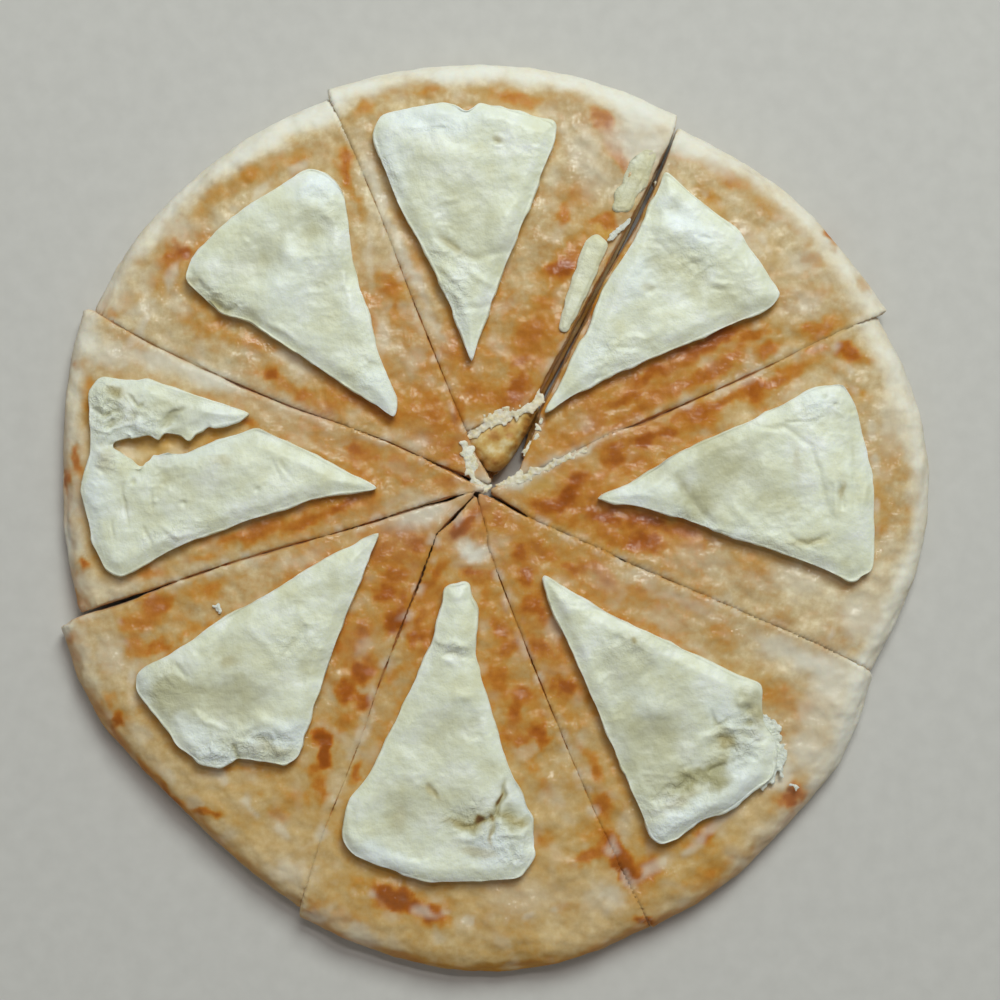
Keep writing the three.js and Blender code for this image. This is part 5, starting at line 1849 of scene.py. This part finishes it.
# How each slab's outline was pushed from its cut shape.
SLAB_NUDGES: dict[str, tuple[Nudge, ...]] = {
    "north": (
        corner(-9, 127.6, 4.2, 0, -2.6), corner(-18, 127.2, 6, 0, .6),
        corner(-4.4, 127.6, 4, 0, .8), corner(-7.7, 50, 9, .2, -3.2),
    ),
    "northeast": (Nudge((52.1, 106.3), (33, 72), 14, (-2.3, 1.1)), corner(17, 34, 9, -2, -1.8)),
    "east": (corner(33.5, 6, 9, -2.6, .3), corner(112.5, -20, 5, -.4, 1.4)),
    "southeast": (
        corner(15.6, -18.6, 9, -1.2, 1.4), corner(81, -68, 7, 3.2, -0.8),
        corner(80, -77, 6, 2.4, -1.2), corner(62, -101, 6, 0, -1.2), corner(54, -102, 5, -0.8, 1.6),
    ),
    "south": (
        corner(-12, -21, 5, 0, .8), corner(-5.2, -24, 4.4, -1.0, -1.0),
        corner(-11.6, -18.4, 3, 0, -.9), corner(-15, -22, 4, -.7, .9),
        corner(-7.8, -20.6, 3.4, .5, 1.0),
    ),
    "southwest": (
        corner(-37, -6, 8, 1.4, 1.6), corner(-62.4, -71.7, 7, 1.2, -1.0),
        corner(-96, -69, 6, -1.0, -0.6),
    ),
    "west": (
        corner(-40, 10.5, 9, 2.8, -1.0), corner(-103.5, 26, 2.6, .6, -2.2),
        corner(-99, 27.5, 2, 0, 1.5), corner(-94, 25.5, 2.6, .4, -1.8), corner(-88, 28, 2, 0, 1.2),
        corner(-111.5, 21.5, 2.6, -2.2, -1.0), corner(-109, 16.8, 2.2, .4, -2.0),
        corner(-105, 19.5, 2, -.3, 1.6), corner(-100, 18.5, 2, 0, 1.3),
        corner(-113, 24.5, 1.8, 1.4, .8), corner(-128, 27, 4, 1.0, 0), corner(-132, 5, 5, 1.4, 0),
    ),
    "northwest": (corner(-31.5, 33, 8, .9, -1.9),),
}


class Crumb(Enum):
    """How a heap's lumps are finished: the share of melted glaze on them."""

    DRY = 0.0
    BUTTERY = 0.2


@dataclass
class CurdHeap:
    """Small lumps of curd cheese that stuck together.

    Attributes:
        name: the piece's name.
        finish: the curd's material.
        line: the X, Y and Z of the points that the lumps follow, in millimetres.
        lump: radius of an average lump.
        stray: how far a lump strays from the line.
        count: how many lumps there are.
        seed: picks the lumps' places.
        crumb: how dry the lumps are.
        slot: a material slot's name; not used.
        flat: how tall a lump is, as a share of its width.
        taper: how small the lumps and their stray are at the line's end, as a share of the start.
        longest: how long the longest lump is, as a multiple of its radius.
        grain: size of a mesh face in millimetres.
    """

    name: str
    finish: bpy.types.Material
    line: tuple[tuple[float, float, float], ...]
    lump: float
    stray: float
    count: int
    seed: int
    crumb: Crumb = Crumb.DRY
    slot: str = "crumbled_cheese"
    flat: float = 0.5
    taper: float = 1.0
    longest: float = 2.2
    grain: float = 0.24

    def build(self) -> bpy.types.Object:
        """Shapes and paints the heap.

        Returns:
            The piece.
        """
        smallest, gain = 0.35, 1.9
        upward = 0.12  # how far a lump strays up or down, as a share of its way sideways
        draws = np.random.default_rng(self.seed)
        shape = bmesh.new()
        legs = len(self.line) - 1
        for share in draws.uniform(0, legs, self.count):
            leg = min(int(share), legs - 1)
            start, end = np.array(self.line[leg]), np.array(self.line[leg + 1])
            size = 1 + (self.taper - 1) * share / legs
            stray = self.stray * size
            spot = start + (share - leg) * (end - start)
            spot = spot + draws.normal(size=3) * (stray, stray, upward * stray)
            radius = self.lump * size * draws.uniform(smallest, 1.0) ** 2 * gain
            along, across = draws.uniform(1.1, self.longest), draws.uniform(0.6, 1.0)
            squash = Matrix.Diagonal((along, across, self.flat, 1))
            heading = math.atan2(end[1] - start[1], end[0] - start[0])
            turn = Matrix.Rotation(heading + draws.normal(0, 0.8), 4, "Z")
            bmesh.ops.create_icosphere(
                shape, subdivisions=2, radius=radius * MM,
                matrix=Matrix.Translation(Vector(spot * MM)) @ turn @ squash,
            )
        clay = evened(shown(self.name, shape), self.grain, softening=8)
        clay.push(0.2 * Lumps(71, 1.4).at(clay.points) + 0.08 * Lumps(72, 0.6).at(clay.points))
        clay.paint("melt", np.full(len(clay.points), self.crumb.value))
        clay.paint("fresh_and_highlight", np.full(len(clay.points), 0.4))
        clay.paint("fibrous", np.full(len(clay.points), 0.7))
        clay.piece.data.materials.append(self.finish)
        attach(clay.piece, BODY)
        return clay.piece


@dataclass(frozen=True)
class Lamp:
    """One soft area light.

    Attributes:
        name: the light's name.
        at: where it hangs, in metres.
        wide, deep: its two sides in metres.
        watts: its power.
        tint: its colour.
    """

    name: str
    at: tuple[float, float, float]
    wide: float
    deep: float
    watts: float
    tint: str

    def hang(self) -> None:
        """Hangs the light so that it faces the bread."""
        lamp = bpy.data.lights.new(self.name, "AREA")
        lamp.shape = "RECTANGLE"
        lamp.size = self.wide
        lamp.size_y = self.deep
        lamp.energy = self.watts
        lamp.color = linear(self.tint)[:3]
        holder = bpy.data.objects.new(self.name, lamp)
        bpy.context.scene.collection.objects.link(holder)
        holder.location = self.at
        holder.rotation_euler = (-Vector(self.at)).to_track_quat("-Z", "Y").to_euler()


@dataclass
class Studio:
    """The plain pale floor, the soft light and the camera.

    Attributes:
        floor_size: side of the floor in metres.
        camera_height: height of the camera above the floor.
        view_width: how much of the bread's level the picture spans.
        aim: the X and Y that the camera looks at.
        level: height of the bread's level above the floor.
        sensor: width of the camera's sensor in millimetres.
        lamps: a big window, a narrow skylight that draws the glints, and a dim fill.
        room: how bright the room itself is.
    """

    floor_size: float = 6.0
    camera_height: float = 0.78
    view_width: float = 0.307
    aim: tuple[float, float] = (0.0014, 0.0056)
    level: float = 0.014
    sensor: float = 36.0
    lamps: tuple[Lamp, ...] = (
        Lamp("window", (0.43, 1.3, 1.63), 0.85, 0.85, 28.5, "#f6fffc"),
        Lamp("skylight", (0.1, 0.62, 1.7), 0.8, 0.12, 5.0, "#fffaf8"),
        Lamp("fill", (-0.5, -0.8, 1.2), 1.2, 1.2, 1.2, "#fff6ee"),
    )
    room: float = 0.16

    def build(self) -> None:
        """Sets the floor, the lights and the camera."""
        self.lay_floor()
        for lamp in self.lamps:
            lamp.hang()
        self.light_room()
        self.set_camera()

    def lay_floor(self) -> None:
        """Lays the floor."""
        shape = bmesh.new()
        bmesh.ops.create_grid(shape, x_segments=8, y_segments=8, size=self.floor_size / 2)
        floor = shown("floor", shape)
        floor.data.materials.append(PaintedTable().make())

    def light_room(self) -> None:
        """Fills the room with dim even light."""
        world = bpy.data.worlds.new("room")
        world.use_nodes = True
        back = world.node_tree.nodes["Background"]
        back.inputs["Color"].default_value = linear("#eef2f2")
        back.inputs["Strength"].default_value = self.room
        bpy.context.scene.world = world

    def set_camera(self) -> None:
        """Hangs the camera straight above the bread."""
        lens = bpy.data.cameras.new("camera")
        lens.sensor_width = self.sensor
        lens.lens = self.sensor * (self.camera_height - self.level) / self.view_width
        camera = bpy.data.objects.new("camera", lens)
        bpy.context.scene.collection.objects.link(camera)
        camera.location = (*self.aim, self.camera_height)
        bpy.context.scene.camera = camera
        bpy.context.scene.view_settings.view_transform = "Standard"


def curd_heaps(curd: bpy.types.Material, cheese: bpy.types.Material) -> tuple[CurdHeap, ...]:
    """Lists the loose curds and flakes that show on the bread.

    Args:
        curd: the baked curd's material.
        cheese: the softened cheese's material.

    Returns:
        The heaps.
    """
    flakes = {"slot": "soft_cheese", "flat": 0.28, "longest": 1.6}
    return (
        CurdHeap("curds_torn_north", curd, (
            (-7.4, 26.9, 14.9), (-4, 28.5, 15.0), (0, 30.3, 15.1), (5, 32.5, 15.1),
            (10, 34.7, 15.0), (13.5, 37, 14.9),
        ), 0.75, 0.9, 330, 5, Crumb.BUTTERY, flat=0.22),
        CurdHeap("curds_east_edge", curd, (
            (1.5, 9.2, 15.0), (6, 11.6, 15.4), (10, 13.4, 15.6), (15, 15.6, 15.6),
            (21, 18.2, 15.6), (28, 21.4, 15.5),
        ), 0.75, 0.7, 330, 6, Crumb.BUTTERY, flat=0.22, taper=0.5),
        CurdHeap("curds_middle", curd, (
            (-9.2, 22.5, 15.5), (-7.6, 17, 15.3), (-5.4, 12.6, 14.9), (-4, 9, 14.5),
        ), 0.75, 0.7, 150, 7, flat=0.22),
        CurdHeap("curds_northeast_edge", curd, (
            (8.6, 19.6, 15.2), (10.4, 20.4, 15.4), (11.8, 24, 15.5), (14.4, 30, 15.5),
        ), 0.6, 0.35, 80, 8, flat=0.25),
        CurdHeap("flakes_southeast_corner", cheese, (
            (82, -61, 16.3), (85, -67, 15.9), (87, -73, 15.7), (83, -78.5, 15.7), (79, -82, 15.9),
        ), 0.75, 1.1, 380, 9, **flakes),
        CurdHeap("flake_southeast_rim", cheese, (
            (91, -81.4, 15.3), (92.4, -82.6, 15.2),
        ), 0.42, 0.25, 22, 10, **flakes),
        CurdHeap("flake_southwest", cheese, (
            (-85.4, -26.6, 15.5), (-84.6, -28.6, 15.5),
        ), 0.55, 0.35, 24, 11, **flakes),
        CurdHeap("cheese_sliver", cheese, (
            (35.5, 86, 15.5), (38, 88.4, 15.5), (40.7, 91, 15.5),
        ), 0.6, 0.12, 110, 12, **flakes),
    )


def report(piece: bpy.types.Object) -> None:
    """Logs a finished piece."""
    log.info("%s has %d faces", piece.name, len(piece.data.polygons))


def main() -> None:
    """Builds the whole bread and its setting."""
    logging.basicConfig(level=logging.INFO)
    crust = EggWashedCrust().make()
    cheese = SoftenedCheese().make()
    curd = BakedCurd().make()
    wedges = []
    for side in WEDGES:
        slab = CheeseSlab(
            side, cheese, SLAB_FOLDS[side], SLAB_DENTS[side], SLAB_STAINS_AND_SHADE[side], SLAB_FRESH_AND_HIGHLIGHT[side],
            SLAB_FLAKES[side], SLAB_PAINTED_SHADE[side], SLAB_NUDGES[side],
            SLAB_ROUNDING.get(side, CheeseSlab.rounding),
        ).build()
        report(slab)
        nudges = WEDGE_NUDGES.get(side, ())
        report(FillingLayer(side, curd, nudges=nudges).build())
        wedges.append(CrustWedge(side, crust, slab, nudges=nudges))
    trees = [wedge.lay() for wedge in wedges]
    for at, wedge in enumerate(wedges):
        report(wedge.build((trees[at - 1], trees[(at + 1) % len(trees)])))
    shavings = (
        CheeseShaving("cheese_strip_long", cheese),
        CheeseShaving("cheese_strip_thin", cheese, thickness=0.35, melted=0.65, slump=1.5),
    )
    for shaving in shavings:
        report(shaving.build())
    for heap in curd_heaps(curd, cheese):
        report(heap.build())
    Studio().build()


if __name__ == "__main__":
    main()
